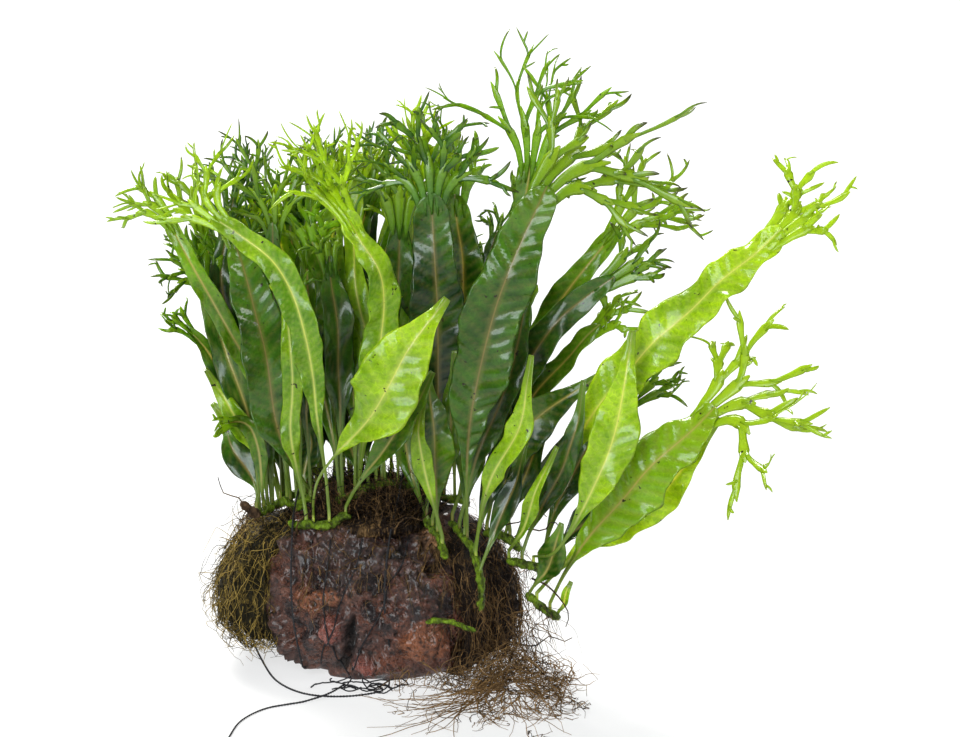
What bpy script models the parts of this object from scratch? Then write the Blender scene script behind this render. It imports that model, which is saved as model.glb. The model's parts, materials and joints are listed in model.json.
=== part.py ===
"""A java fern with crested fronds, tied to a lump of lava rock with black thread.

Lengths in this file are millimetres, and meshes are scaled to metres as they are made.
X runs to the right, Y away from the front and Z up. The rock stands on Z = 0, and the
middle of its base is the origin.
"""

import math
import random

import bpy
import numpy as np
from mathutils import Vector, noise
from mathutils.bvhtree import BVHTree

MM = 0.001
SEED = 12

# The rock is a rounded block, described by the distance of its skin from its middle.
ROCK_MIDDLE = Vector((0.0, 0.0, 24.5))
ROCK_HALF = (38.0, 30.0, 29.0)
ROCK_SQUARENESS = 3.4
ROCK_ROUGHNESS = 2.2
GRID_TURNS = 36
GRID_ROWS = 15
# Where each lump or hollow lies, how far it stands out and how wide it is in radians.
ROCK_LUMPS = (
    ((-38, -12, 25), 3.0, 0.35),
    ((-33, -8, 8), -5.0, 0.35),
    ((-20, -28, 30), 2.5, 0.25),
    ((-12, -30, 12), 3.5, 0.24),
    ((-6, -30, 16), -3.0, 0.18),
    ((22, -28, 36), -2.5, 0.22),
    ((26, -12, 50), -4.0, 0.40),
    ((34, 0, 8), -4.0, 0.35),
    ((10, 30, 30), 3.0, 0.40),
)
HOLLOW_DEPTH = 2.6
HOLLOW_HALF = 4.5
HOLLOW_SLOPE = 5.0

# Root mats hug the rock at this distance, and the one on the crown is thicker at the back.
MAT_GAP = 0.6
CROWN_MAT = 2.0
CROWN_MAT_BACK = 6.0

RHIZOME_RADIUS = 1.9
RHIZOME_LIFT = 1.5
RHIZOME_STEP = 4.0
# Above this height the rock is its crown, which the rhizomes lie on.
CROWN_HEIGHT = 35.0
# Points that each creeping rhizome runs through.
RHIZOMES = {
    "rhizome_left": ((-41, -9, 52), (-36, -3, 52), (-30, 1, 52), (-21, -4, 52)),
    "rhizome_front_left": ((-7, -21, 52), (-15, -22, 52), (-22, -20, 52), (-29, -17, 52)),
    "rhizome_middle": ((-13, -7, 54), (-5, -3, 54), (4, 2, 54), (15, 3, 52)),
    "rhizome_centre": ((18, -8, 54), (21, -15, 52), (24, -23, 50), (26, -30, 46)),
    "rhizome_right": ((27, -7, 50), (31, -15, 50), (35, -22, 47), (38, -30, 38), (38, -33, 28)),
    "rhizome_branch": ((39, -11, 49), (44, -12, 49), (49, -11, 46), (52, -9, 42)),
    "rhizome_far_right": ((47, -17, 41), (52, -17, 40), (57, -15, 38), (60, -11, 35)),
    "rhizome_low_right": ((54, -20, 30), (58, -20, 26), (62, -18, 22), (66, -15, 19)),
    "rhizome_back": ((-34, 9, 50), (-18, 15, 53), (0, 17, 54), (18, 15, 53), (34, 9, 50)),
    "rhizome_runner": ((19, -36, 25), (26, -38, 26), (33, -39, 25), (37, -39, 22)),
}
STUB = ((-45, -19, 63), (-42, -17, 59), (-39, -14, 57))

# The black thread: two turns round the rock and two loose tails on the ground.
THREAD_RADIUS = 0.4
THREAD_GAP = 1.2
TURN_POINTS = 40
TURN_SAMPLES = 4
FAR = 120.0
# The X of each turn over the top, down the front, under the base and up the back.
THREAD_TURNS = {
    "thread_turn_left": (-26.5, -27, -21, -25),
    "thread_turn_right": (10, 5, 15, 12),
}
TAIL_POINTS = 42
THREAD_TAILS = {
    "thread_tail_left": ((2, -33, 0), (4, -38, 0), (-8, -43, 0), (-22, -41, 0), (-33, -29, 0),
                         (-40, -8, 0), (-46, 18, 0), (-49, 38, 0)),
    "thread_tail_front": ((-9, -36, 2.2), (-15, -45, 1.9), (-27, -50, 0), (-36, -55, 0),
                          (-43, -66, 0), (-46, -82, 0), (-50, -107, 0)),
}

# Fronds: where each grows, half its width, its roll, the points its midrib bends through,
# then its crest as number of lobes, their length, their fan and their lean, and its colour.
FACING = Vector((0.0, -0.8, 0.6))
STATIONS = 10
STALK_SHARE = 0.17
LONG_STALKS = {"front_pale": 0.36, "front_under": 0.3, "right_young": 0.28, "right_bright": 0.3,
               "low_quilted": 0.22, "right_long": 0.22, "front_narrow": 0.25, "left_lime": 0.22}
STALK_HALF = 0.9
BLADE_HALF_THICKNESS = 0.35
STALK_LIFT = 0.9
PLAIN = (0, 0, 0, 0)
FRONDS = (
    ("left_outer", "left", 0.02, 3.6, 15, ((-38, -12, 97), (-45, -14, 115), (-57, -18, 140), (-70, -16, 165)),
     (3, 20, 60, -35), "mid"),
    ("left_curl", "left", 0.16, 3.0, 30, ((-39, -15, 78), (-43, -22, 90), (-49, -28, 92)),
     (2, 9, 60, 0), "mid"),
    ("left_tuft", "left", 0.32, 3.5, -20, ((-41, 3, 90), (-50, 4, 118), (-60, 5, 137)),
     (3, 20, 70, -35), "dark"),
    ("left_yellow", "left", 0.46, 4.5, -10, ((-43, 10, 95), (-55, 12, 135), (-61, 13, 158)),
     (3, 22, 80, 5), "mid"),
    ("left_laced", "left", 0.62, 4.5, 10, ((-32, 3, 85), (-34, 2, 115), (-33, -6, 160)),
     (4, 34, 120, -20), "dark"),
    ("left_glossy", "left", 0.94, 8.5, -20, ((-31, -18, 85), (-37, -24, 125), (-46, -16, 154)),
     (2, 11, 50, 0), "dark"),
    ("left_lime", "front_left", 0.33, 5.2, 20,
     ((-17, -33, 90), (-21, -37, 128), (-31, -36, 152), (-52, -28, 166)), (4, 28, 100, 20), "lime"),
    ("front_under", "front_left", 0.08, 5.0, 20, ((0, -33, 80), (14, -36, 100), (22, -34, 115)),
     PLAIN, "mid"),
    ("front_pale", "front_left", 0.58, 12.0, -12,
     ((-16, -36, 80), (3, -48, 105), (13, -52, 125), (27, -48, 143)), PLAIN, "lime"),
    ("left_slim", "front_left", 0.70, 3.5, 0, ((-27, -25, 88), (-26, -24, 110), (-28, -16, 136)),
     (2, 11, 60, 0), "lime"),
    ("mid_pierced", "middle", 0.05, 5.5, 25, ((-12, 2, 95), (-14, -2, 130), (-20, -4, 152)),
     (3, 21, 80, 15), "mid"),
    ("mid_bright", "middle", 0.30, 6.0, -25, ((-1, -15, 95), (5, -21, 138), (-8, -18, 166)),
     (4, 38, 60, -5), "lime"),
    ("mid_deep", "middle", 0.60, 6.0, -10, ((4, 7, 95), (9, 4, 135), (10, 2, 160)),
     (3, 25, 70, 0), "dark"),
    ("mid_broad", "middle", 0.95, 7.5, -18, ((26, 5, 95), (32, -2, 130), (29, -2, 168)),
     (3, 28, 70, 20), "mid"),
    ("mid_tall", "centre", 0.10, 9.0, 8, ((23, -8, 95), (23, -15, 135), (21, -17, 172)),
     (5, 34, 130, 0), "dark"),
    ("front_back", "centre", 0.34, 3.5, -35, ((27, -20, 85), (29, -21, 118)), PLAIN, "mid"),
    ("front_small", "centre", 0.54, 6.5, -20, ((22, -28, 88), (20, -28, 112)), PLAIN, "mid"),
    ("front_narrow", "centre", 0.78, 3.5, 25, ((19, -34, 78), (17, -36, 92), (19, -34, 104)),
     PLAIN, "lime"),
    ("mid_crown", "right", 0.06, 6.0, 15, ((43, 2, 95), (49, -6, 130), (55, -12, 182)),
     (4, 44, 75, -8), "mid"),
    ("mid_shade", "right", 0.20, 5.0, 10, ((38, -20, 82), (47, -22, 105), (54, -14, 135)),
     (2, 11, 60, 0), "dark"),
    ("mid_blue", "right", 0.34, 9.8, -12,
     ((34, -29, 92), (41, -37, 130), (48, -38, 152), (60, -28, 178)), (4, 50, 75, 35), "dark"),
    ("right_young", "right", 0.55, 5.0, 30, ((40, -35, 72), (51, -41, 98), (55, -38, 122)),
     PLAIN, "lime"),
    ("right_olive", "branch", 0.08, 5.0, 20, ((50, 5, 82), (65, 4, 105), (80, 0, 122)),
     (3, 18, 70, 0), "mid"),
    ("right_spotted", "branch", 0.34, 5.5, -15, ((47, -4, 92), (64, -8, 125), (84, -6, 141)),
     (3, 25, 60, 0), "dark"),
    ("right_sweep", "branch", 0.62, 7.5, -20, ((47, -18, 74), (58, -15, 92), (80, -10, 107)),
     PLAIN, "mid"),
    ("right_long", "branch", 0.92, 8.5, 12,
     ((64, -16, 75), (88, -25, 112), (115, -28, 140), (140, -20, 160)), (4, 26, 85, 0), "lime"),
    ("right_fleshy", "far_right", 0.05, 2.8, 20, ((53, -28, 58), (58, -34, 74), (64, -35, 88)),
     PLAIN, "lime"),
    ("right_gloss", "far_right", 0.34, 4.5, 25, ((61, -22, 66), (70, -27, 90), (73, -27, 110)),
     PLAIN, "dark"),
    ("right_bright", "far_right", 0.62, 8.0, -8, ((66, -27, 54), (82, -37, 90), (89, -35, 129)),
     PLAIN, "lime"),
    ("low_dark", "far_right", 0.95, 5.0, 15, ((66, 0, 58), (80, 2, 82), (94, 2, 96)),
     (3, 20, 70, 0), "dark"),
    ("low_yellow", "low_right", 0.30, 7.5, -15, ((79, -5, 46), (101, -10, 63), (121, -14, 92)),
     PLAIN, "lime"),
    ("low_quilted", "low_right", 0.70, 10.0, 12, ((72, -23, 46), (94, -32, 77), (118, -32, 101)),
     (4, 36, 120, 20), "mid"),
    ("left_deep", "back", 0.04, 5.0, 15, ((-41, 17, 95), (-49, 19, 125), (-52, 20, 142)),
     (3, 18, 80, 0), "dark"),
    ("rear_left", "back", 0.20, 6.0, -15, ((-26, 30, 90), (-29, 38, 125), (-31, 44, 150)),
     (3, 24, 70, 0), "mid"),
    ("rear_middle", "back", 0.38, 6.5, 10, ((-7, 32, 90), (-5, 40, 128), (-2, 46, 156)),
     (3, 24, 70, 0), "dark"),
    ("rear_arch", "back", 0.52, 6.5, 0, ((3, 44, 74), (4, 62, 90), (2, 82, 98)),
     (2, 20, 50, 0), "mid"),
    ("rear_right", "back", 0.75, 6.5, -20, ((16, 32, 92), (20, 40, 130), (24, 44, 158)),
     (3, 26, 70, 0), "mid"),
    ("rear_far_right", "back", 0.86, 6.0, 15, ((36, 30, 90), (48, 38, 130), (54, 42, 156)),
     (3, 26, 70, 0), "dark"),
    ("right_lace", "back", 0.97, 5.0, -20, ((50, 14, 92), (64, 11, 124), (86, 6, 155)),
     (3, 30, 70, 5), "mid"),
)

# Fronds that pass in front of one another keep this far apart.
SETTLE_ROUNDS = 160
BLADE_APART = 4.2
STALK_APART = 3.0
# They count as crossing where they are this near, seen from the front.
REACH_BLADE = 10.0
REACH_STALK = 4.5
# The first part of a stalk stays where it is.
FREE_FROM = 2.0
FREE_AFTER = 28.0
PUSH = 0.9
STIFFNESS = 0.15

# name: colour, roughness
FINISHES = {
    "lava_rock": ((0.10, 0.040, 0.028), 0.75),
    "roots": ((0.13, 0.075, 0.030), 0.80),
    "rhizome": ((0.28, 0.36, 0.06), 0.45),
    "stub": ((0.10, 0.055, 0.025), 0.70),
    "thread": ((0.012, 0.012, 0.014), 0.60),
    "lime": ((0.30, 0.50, 0.05), 0.30),
    "mid": ((0.10, 0.27, 0.04), 0.30),
    "dark": ((0.035, 0.12, 0.045), 0.25),
}


def clear_scene():
    for old in list(bpy.data.objects):
        bpy.data.objects.remove(old, do_unlink=True)


def finish(name):
    material = bpy.data.materials.get(name)
    if material is None:
        colour, roughness = FINISHES[name]
        material = bpy.data.materials.new(name)
        material.use_nodes = True
        shader = material.node_tree.nodes["Principled BSDF"]
        shader.inputs["Base Color"].default_value = (*colour, 1.0)
        shader.inputs["Roughness"].default_value = roughness
        shader.inputs["Metallic"].default_value = 0.0
    return material


def place(name, data, colour, anchor, parent):
    data.materials.append(finish(colour))
    item = bpy.data.objects.new(name, data)
    item.location = Vector(anchor) * MM
    item.parent = parent
    bpy.context.collection.objects.link(item)
    return item


def solid(name, points, faces, colour, parent, anchor=(0.0, 0.0, 0.0)):
    mesh = bpy.data.meshes.new(name)
    mesh.from_pydata([(Vector(p) - Vector(anchor)) * MM for p in points], [], faces)
    mesh.validate()
    mesh.shade_smooth()
    mesh.set_sharp_from_angle(angle=math.radians(50))
    return place(name, mesh, colour, anchor, parent)


def tube(name, route, radius, colour, parent, sides_step, closed=False):
    """A round bar along the route, with its ends filled."""
    curve = bpy.data.curves.new(name, "CURVE")
    curve.dimensions = "3D"
    curve.bevel_depth = radius * MM
    curve.bevel_resolution = sides_step
    curve.use_fill_caps = not closed
    spline = curve.splines.new("POLY")
    spline.points.add(len(route) - 1)
    for point, place_mm in zip(spline.points, route):
        point.co = (*(Vector(place_mm) * MM), 1.0)
    spline.use_cyclic_u = closed
    spline.use_smooth = True
    return place(name, curve, colour, (0.0, 0.0, 0.0), parent)


def through(points, steps):
    """Evenly spaced places along a smooth curve through the points."""
    knots = [Vector(p) for p in points]
    knots = [2 * knots[0] - knots[1], *knots, 2 * knots[-1] - knots[-2]]
    fine = []
    for a, b, c, d in zip(knots, knots[1:], knots[2:], knots[3:]):
        for t in np.linspace(0.0, 1.0, 16, endpoint=False):
            fine.append(0.5 * ((2 * b) + (c - a) * t + (2 * a - 5 * b + 4 * c - d) * t**2
                               + (3 * b - a - 3 * c + d) * t**3))
    fine.append(knots[-2])
    lengths = [0.0]
    for p, q in zip(fine, fine[1:]):
        lengths.append(lengths[-1] + (q - p).length)
    wanted = np.linspace(0.0, lengths[-1], steps)
    axes = [np.interp(wanted, lengths, [p[i] for p in fine]) for i in range(3)]
    return [Vector(p) for p in zip(*axes)]


def ramp(low, high, value):
    t = min(1.0, max(0.0, (value - low) / (high - low)))
    return t * t * (3 - 2 * t)


# ---- the rock and what hugs it

def direction_at(turn, row):
    around = math.tau * turn / GRID_TURNS
    up = math.pi / 2 - math.pi * row / GRID_ROWS
    return Vector((math.cos(around) * math.cos(up), math.sin(around) * math.cos(up), math.sin(up)))


def rock_radius(direction):
    parts = [abs(d / h) ** ROCK_SQUARENESS for d, h in zip(direction, ROCK_HALF)]
    radius = sum(parts) ** (-1 / ROCK_SQUARENESS)
    for spot, height, spread in ROCK_LUMPS:
        angle = direction.angle((Vector(spot) - ROCK_MIDDLE).normalized())
        radius += height * math.exp(-((angle / spread) ** 2))
    return radius + ROCK_ROUGHNESS * noise.noise(direction * 3.1)


def under_thread(x, y):
    """How far the base is hollowed at this place, to let the thread pass."""
    away = min(abs(x - turn_x(values, math.pi)) for values in THREAD_TURNS.values())
    return HOLLOW_DEPTH * (1 - ramp(HOLLOW_HALF, HOLLOW_HALF + HOLLOW_SLOPE, away))


def rock_point(turn, row):
    direction = direction_at(turn, row)
    point = ROCK_MIDDLE + direction * rock_radius(direction)
    if point.z < HOLLOW_DEPTH:
        reach = min(rock_radius(direction), ROCK_MIDDLE.z / max(1e-6, -direction.z))
        point = ROCK_MIDDLE + direction * reach
        point.z = max(point.z, 0.0, under_thread(point.x, point.y))
    return point


def capped_grid(rings, top, bottom):
    """Points and faces of a closed skin made of rings between two poles."""
    count = len(rings[0])
    points = [top] + [p for ring in rings for p in ring] + [bottom]
    faces = []
    for i in range(count):
        j = (i + 1) % count
        faces.append((0, 1 + i, 1 + j))
        for k in range(len(rings) - 1):
            a = 1 + k * count
            faces.append((a + i, a + count + i, a + count + j, a + j))
        last = 1 + (len(rings) - 1) * count
        faces.append((len(points) - 1, last + j, last + i))
    return points, faces


def make_rock(parent):
    rings = [[rock_point(i, k) for i in range(GRID_TURNS)] for k in range(1, GRID_ROWS)]
    points, faces = capped_grid(rings, rock_point(0, 0), rock_point(0, GRID_ROWS))
    return solid("lava_rock", points, faces, "lava_rock", parent)


def off_rock(turn, row, distance):
    direction = direction_at(turn, row)
    point = ROCK_MIDDLE + direction * (rock_radius(direction) + distance)
    point.z = max(point.z, 0.1)
    return point


def make_side_mat(name, turns, rows, thickness, parent):
    """A shell of matted roots over part of the rock's side."""
    width = len(turns)
    inner = [off_rock(i, k, MAT_GAP) for k in rows for i in turns]
    outer = [off_rock(i, k, MAT_GAP + thickness(u / (width - 1), v / (len(rows) - 1)))
             for v, k in enumerate(rows) for u, i in enumerate(turns)]
    shift = len(inner)
    faces = []
    for v in range(len(rows) - 1):
        for u in range(width - 1):
            a = v * width + u
            b = a + width
            faces.append((a, a + 1, b + 1, b))
            faces.append((shift + a, shift + b, shift + b + 1, shift + a + 1))
    border = [u for u in range(width)]
    border += [v * width + width - 1 for v in range(1, len(rows))]
    border += [(len(rows) - 1) * width + u for u in range(width - 2, -1, -1)]
    border += [v * width for v in range(len(rows) - 2, 0, -1)]
    for a, b in zip(border, border[1:] + border[:1]):
        faces.append((a, shift + a, shift + b, b))
    return solid(name, inner + outer, faces, "roots", parent)


def left_mat_thickness(u, v):
    side = math.sin(math.pi * u) ** 0.5
    return 1.0 + side * (4.0 + 7.0 * ramp(0.0, 0.2, v) + 6.0 * math.exp(-(((v - 0.72) / 0.22) ** 2)))


def right_mat_thickness(u, v):
    side = 0.28 + 0.72 * ramp(0.30, 0.46, u) * (1 - 0.8 * ramp(0.7, 1.0, u))
    return 1.0 + side * (6.0 * ramp(0.0, 0.3, v) + 9.0 * ramp(0.2, 0.6, v) + 6.0 * ramp(0.6, 1.0, v))


def crown_point(turn, row):
    back = ramp(-0.3, 0.4, direction_at(turn, row).y)
    thickness = (CROWN_MAT + CROWN_MAT_BACK * back) * (1 - 0.25 * row)
    return off_rock(turn, row, MAT_GAP + 0.8 + thickness)


def make_top_mat(parent):
    """A thin mat of roots over the rock's crown."""
    rows = (1, 2, 3)
    outside = [[crown_point(i, k) for i in range(GRID_TURNS)] for k in rows]
    inside = [[off_rock(i, k, MAT_GAP) for i in range(GRID_TURNS)] for k in reversed(rows)]
    points, faces = capped_grid(outside + inside, crown_point(0, 0), off_rock(0, 0, MAT_GAP))
    return solid("root_mat_top", points, faces, "roots", parent)


SKIRT_MIDDLE = (48, -40)
SKIRT_HEIGHT = 18.0
SKIRT_EDGE = 0.9
SKIRT_OUTLINE = ((64, -8), (53, -16), (46, -26), (36, -34), (24, -39), (12, -46), (8, -60), (-5, -97),
                 (20, -74), (30, -66), (44, -70), (60, -86), (62, -64), (74, -58), (66, -42), (72, -22))


def make_skirt(parent):
    """Roots that have spread over the ground before the rock."""
    count = len(SKIRT_OUTLINE)
    points = [(x, y, 0.0) for x, y in SKIRT_OUTLINE] + [(x, y, SKIRT_EDGE) for x, y in SKIRT_OUTLINE]
    points += [(*SKIRT_MIDDLE, 0.0), (*SKIRT_MIDDLE, SKIRT_HEIGHT)]
    faces = []
    for i in range(count):
        j = (i + 1) % count
        faces.append((i, j, 2 * count))
        faces.append((j, i, count + i, count + j))
        faces.append((count + j, count + i, 2 * count + 1))
    flipped = [tuple(reversed(face)) for face in faces]
    return solid("root_mat_floor", points, flipped, "roots", parent)


def surface_of(items):
    """A lookup of everything that the items show, for measuring against."""
    graph = bpy.context.evaluated_depsgraph_get()
    points = []
    faces = []
    for item in items:
        mesh = item.evaluated_get(graph).to_mesh()
        start = len(points)
        points += [item.matrix_world @ v.co / MM for v in mesh.vertices]
        faces += [[start + i for i in face.vertices] for face in mesh.polygons]
    return BVHTree.FromPolygons(points, faces)


def highest(ground, spot, around):
    """The height of whatever is under this spot, or just beside it."""
    tops = [0.0]
    for i in range(8):
        beside = Vector((math.cos(math.tau * i / 8), math.sin(math.tau * i / 8), 0)) * around
        hit = ground.ray_cast(spot + beside + Vector((0, 0, FAR)), Vector((0, 0, -1)))[0]
        if hit:
            tops.append(hit.z)
    return max(tops)


def make_rhizomes(ground, parent):
    """Creeping stems that lie on whatever is under them."""
    routes = {}
    items = []
    for name, points in RHIZOMES.items():
        length = sum((Vector(q) - Vector(p)).length for p, q in zip(points, points[1:]))
        route = through(points, round(length / RHIZOME_STEP) + 2)
        for place_mm in route:
            top = highest(ground, place_mm, 1.4 * RHIZOME_RADIUS)
            if top > CROWN_HEIGHT:
                place_mm.z = max(place_mm.z, top + RHIZOME_RADIUS + RHIZOME_LIFT)
        routes[name] = route
        items.append(tube(name, route, RHIZOME_RADIUS, "rhizome", parent, 1))
    items.append(tube("old_rhizome_stub", through(STUB, 4), RHIZOME_RADIUS * 0.8, "stub", parent, 1))
    return routes, items


# ---- the thread

def turn_x(values, angle):
    top, front, base, back = values
    return ((top + front + base + back) / 4 + (top - base) / 2 * math.cos(angle)
            + (front - back) / 2 * math.sin(angle)
            + (top + base - front - back) / 4 * math.cos(2 * angle))


def outward(angle):
    return Vector((0.0, -math.sin(angle), math.cos(angle)))


def reach_of(bulk, x, angle):
    """How far from the rock's middle the thread runs, to clear what is under it."""
    reach = 0.0
    for side in (-THREAD_GAP, 0.0, THREAD_GAP):
        start = Vector((x + side, 0.0, ROCK_MIDDLE.z)) + outward(angle) * FAR
        hit = bulk.ray_cast(start, -outward(angle))[0]
        reach = max(reach, FAR - (hit - start).length)
    return reach + THREAD_RADIUS + THREAD_GAP


def tightened(reach):
    """The reach of a taut loop over places that stand this far out, all round."""
    count = len(reach)
    step = math.tau / count
    pulled = list(reach)
    for _ in range(600):
        for i in range(count):
            a = pulled[i - 1]
            b = pulled[(i + 1) % count]
            chord = 2 * a * b * math.cos(step) / (a + b)
            pulled[i] = max(pulled[i], chord)
    return pulled


def make_turns(bulk, parent):
    count = TURN_POINTS * TURN_SAMPLES
    angles = [math.tau * i / count for i in range(count)]
    for name, values in THREAD_TURNS.items():
        reach = [reach_of(bulk, turn_x(values, angle), angle) for angle in angles]
        route = []
        for angle, out in list(zip(angles, tightened(reach)))[::TURN_SAMPLES]:
            spot = Vector((turn_x(values, angle), 0.0, ROCK_MIDDLE.z)) + outward(angle) * out
            spot.z = max(spot.z, THREAD_RADIUS + 0.05)
            route.append(spot)
        tube(name, route, THREAD_RADIUS, "thread", parent, 2, closed=True)


def make_tails(parent):
    for name, points in THREAD_TAILS.items():
        route = through(points, TAIL_POINTS)
        for spot in route:
            spot.z = max(spot.z, THREAD_RADIUS + 0.05)
        tube(name, route, THREAD_RADIUS, "thread", parent, 2)


# ---- the fronds

class Frond:
    """The midrib places, the directions across them and the lobes of one frond."""

    def __init__(self, row, routes, chance):
        self.name, rhizome, share, self.half_width, roll, bends, crest, self.colour = row
        base = self.base_on(routes["rhizome_" + rhizome], share)
        path = [base - Vector((0, 0, 6)), base, *[Vector(b) for b in bends]]
        fine = through(path, 60)
        start = min(range(20), key=lambda i: (fine[i] - base).length)
        self.middle = through(fine[start::4] + [fine[-1]], STATIONS)
        self.middle[0] = base
        self.crested = crest[0] > 0
        self.set_directions(math.radians(roll))
        self.set_lobes(crest, chance)

    @staticmethod
    def base_on(route, share):
        along = share * (len(route) - 1)
        k = min(int(along), len(route) - 2)
        spot = route[k].lerp(route[k + 1], along - k)
        return spot + Vector((0, 0, RHIZOME_RADIUS + STALK_LIFT + STALK_HALF))

    def set_directions(self, roll):
        ends = [self.middle[0]] + self.middle + [self.middle[-1]]
        self.along = [(b - a).normalized() for a, b in zip(ends, ends[2:])]
        self.across = []
        self.face = []
        for i, forward in enumerate(self.along):
            flat = forward.cross(FACING).normalized()
            face = flat.cross(forward)
            turn = roll * i / (STATIONS - 1)
            side = flat * math.cos(turn) + face * math.sin(turn)
            self.across.append(side)
            self.face.append(side.cross(forward))

    def half_at(self, i):
        stalk = LONG_STALKS.get(self.name, STALK_SHARE)
        u = max(0.0, (i / (STATIONS - 1) - stalk) / (1 - stalk))
        end = 0.5 if self.crested else 0.04
        taper = ramp(0.62, 1.0, u) if self.crested else ramp(0.45, 1.0, u)
        shape = ramp(-0.08, 0.32, u) * (1 - (1 - end) * taper)
        return STALK_HALF + (self.half_width - STALK_HALF) * shape if u > 0 else STALK_HALF

    def thick_at(self, i):
        share = i / (STATIONS - 1)
        return STALK_HALF + (BLADE_HALF_THICKNESS - STALK_HALF) * ramp(0.0, 0.5, share)

    def set_lobes(self, crest, chance):
        count, length, fan, lean = crest
        self.lobes = []
        for j in range(count):
            angle = math.radians(lean + fan * (j / max(1, count - 1) - 0.5))
            curl = chance.uniform(-0.35, 0.35)
            reach = length * chance.uniform(0.8, 1.1)
            self.lobes.append(self.lobe(angle, curl, reach))

    def lobe(self, angle, curl, reach):
        forward = self.along[-1] * math.cos(angle) + self.across[-1] * math.sin(angle)
        side = self.across[-1] * math.cos(angle) - self.along[-1] * math.sin(angle)
        places = []
        for share in (0.25, 0.5, 0.75, 1.0):
            bow = self.face[-1] * (curl * reach * share * share)
            places.append(self.middle[-1] + forward * (reach * share) + bow)
        return {"places": places, "side": side}

    def sheet(self):
        """Places, faces, normals and half thicknesses of the flat frond."""
        points = []
        normals = []
        thick = []
        faces = []
        last = STATIONS - 1 if self.crested else STATIONS
        for i in range(last):
            for side in (-1, 1):
                points.append(self.middle[i] + self.across[i] * (side * self.half_at(i)))
                normals.append(self.face[i])
                thick.append(self.thick_at(i))
            if i:
                a = 2 * i
                faces += [(a - 2, a - 1, a + 1), (a - 2, a + 1, a)]
        if self.crested:
            self.add_crest(points, normals, thick, faces)
        return points, faces, normals, thick

    def add_crest(self, points, normals, thick, faces):
        count = len(self.lobes)
        left, right = len(points) - 2, len(points) - 1
        row = len(points)
        for j in range(count + 1):
            t = 2 * j / count - 1
            bulge = self.along[-1] * (self.half_at(STATIONS - 1) * 0.5 * (1 - t * t))
            points.append(self.middle[-1] + self.across[-1] * (t * self.half_at(STATIONS - 1)) + bulge)
            normals.append(self.face[-1])
            thick.append(BLADE_HALF_THICKNESS)
        turn = (count + 1) // 2
        faces += [(left, row + j + 1, row + j) for j in range(turn)]
        faces.append((left, right, row + turn))
        faces += [(right, row + j + 1, row + j) for j in range(turn, count)]
        for j, lobe in enumerate(self.lobes):
            start = len(points)
            half = min(1.5, self.half_at(STATIONS - 1) / count)
            for side in (-half, half):
                points.append(lobe["places"][1] + lobe["side"] * side)
            points.append(lobe["places"][3])
            normals += [self.face[-1]] * 3
            thick += [BLADE_HALF_THICKNESS] * 3
            faces += [(row + j, row + j + 1, start + 1), (row + j, start + 1, start),
                      (start, start + 1, start + 2)]

    def make(self, parent):
        points, faces, normals, thick = self.sheet()
        count = len(points)
        both = [p + n * t for p, n, t in zip(points, normals, thick)]
        both += [p - n * t for p, n, t in zip(points, normals, thick)]
        skin = [tuple(f) for f in faces] + [tuple(i + count for i in reversed(f)) for f in faces]
        edges = {(f[i], f[(i + 1) % 3]) for f in faces for i in range(3)}
        for a, b in sorted(edges):
            if (b, a) not in edges:
                skin.append((b, a, a + count, b + count))
        return solid("frond_" + self.name, both, skin, self.colour, parent, self.middle[0])


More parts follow.
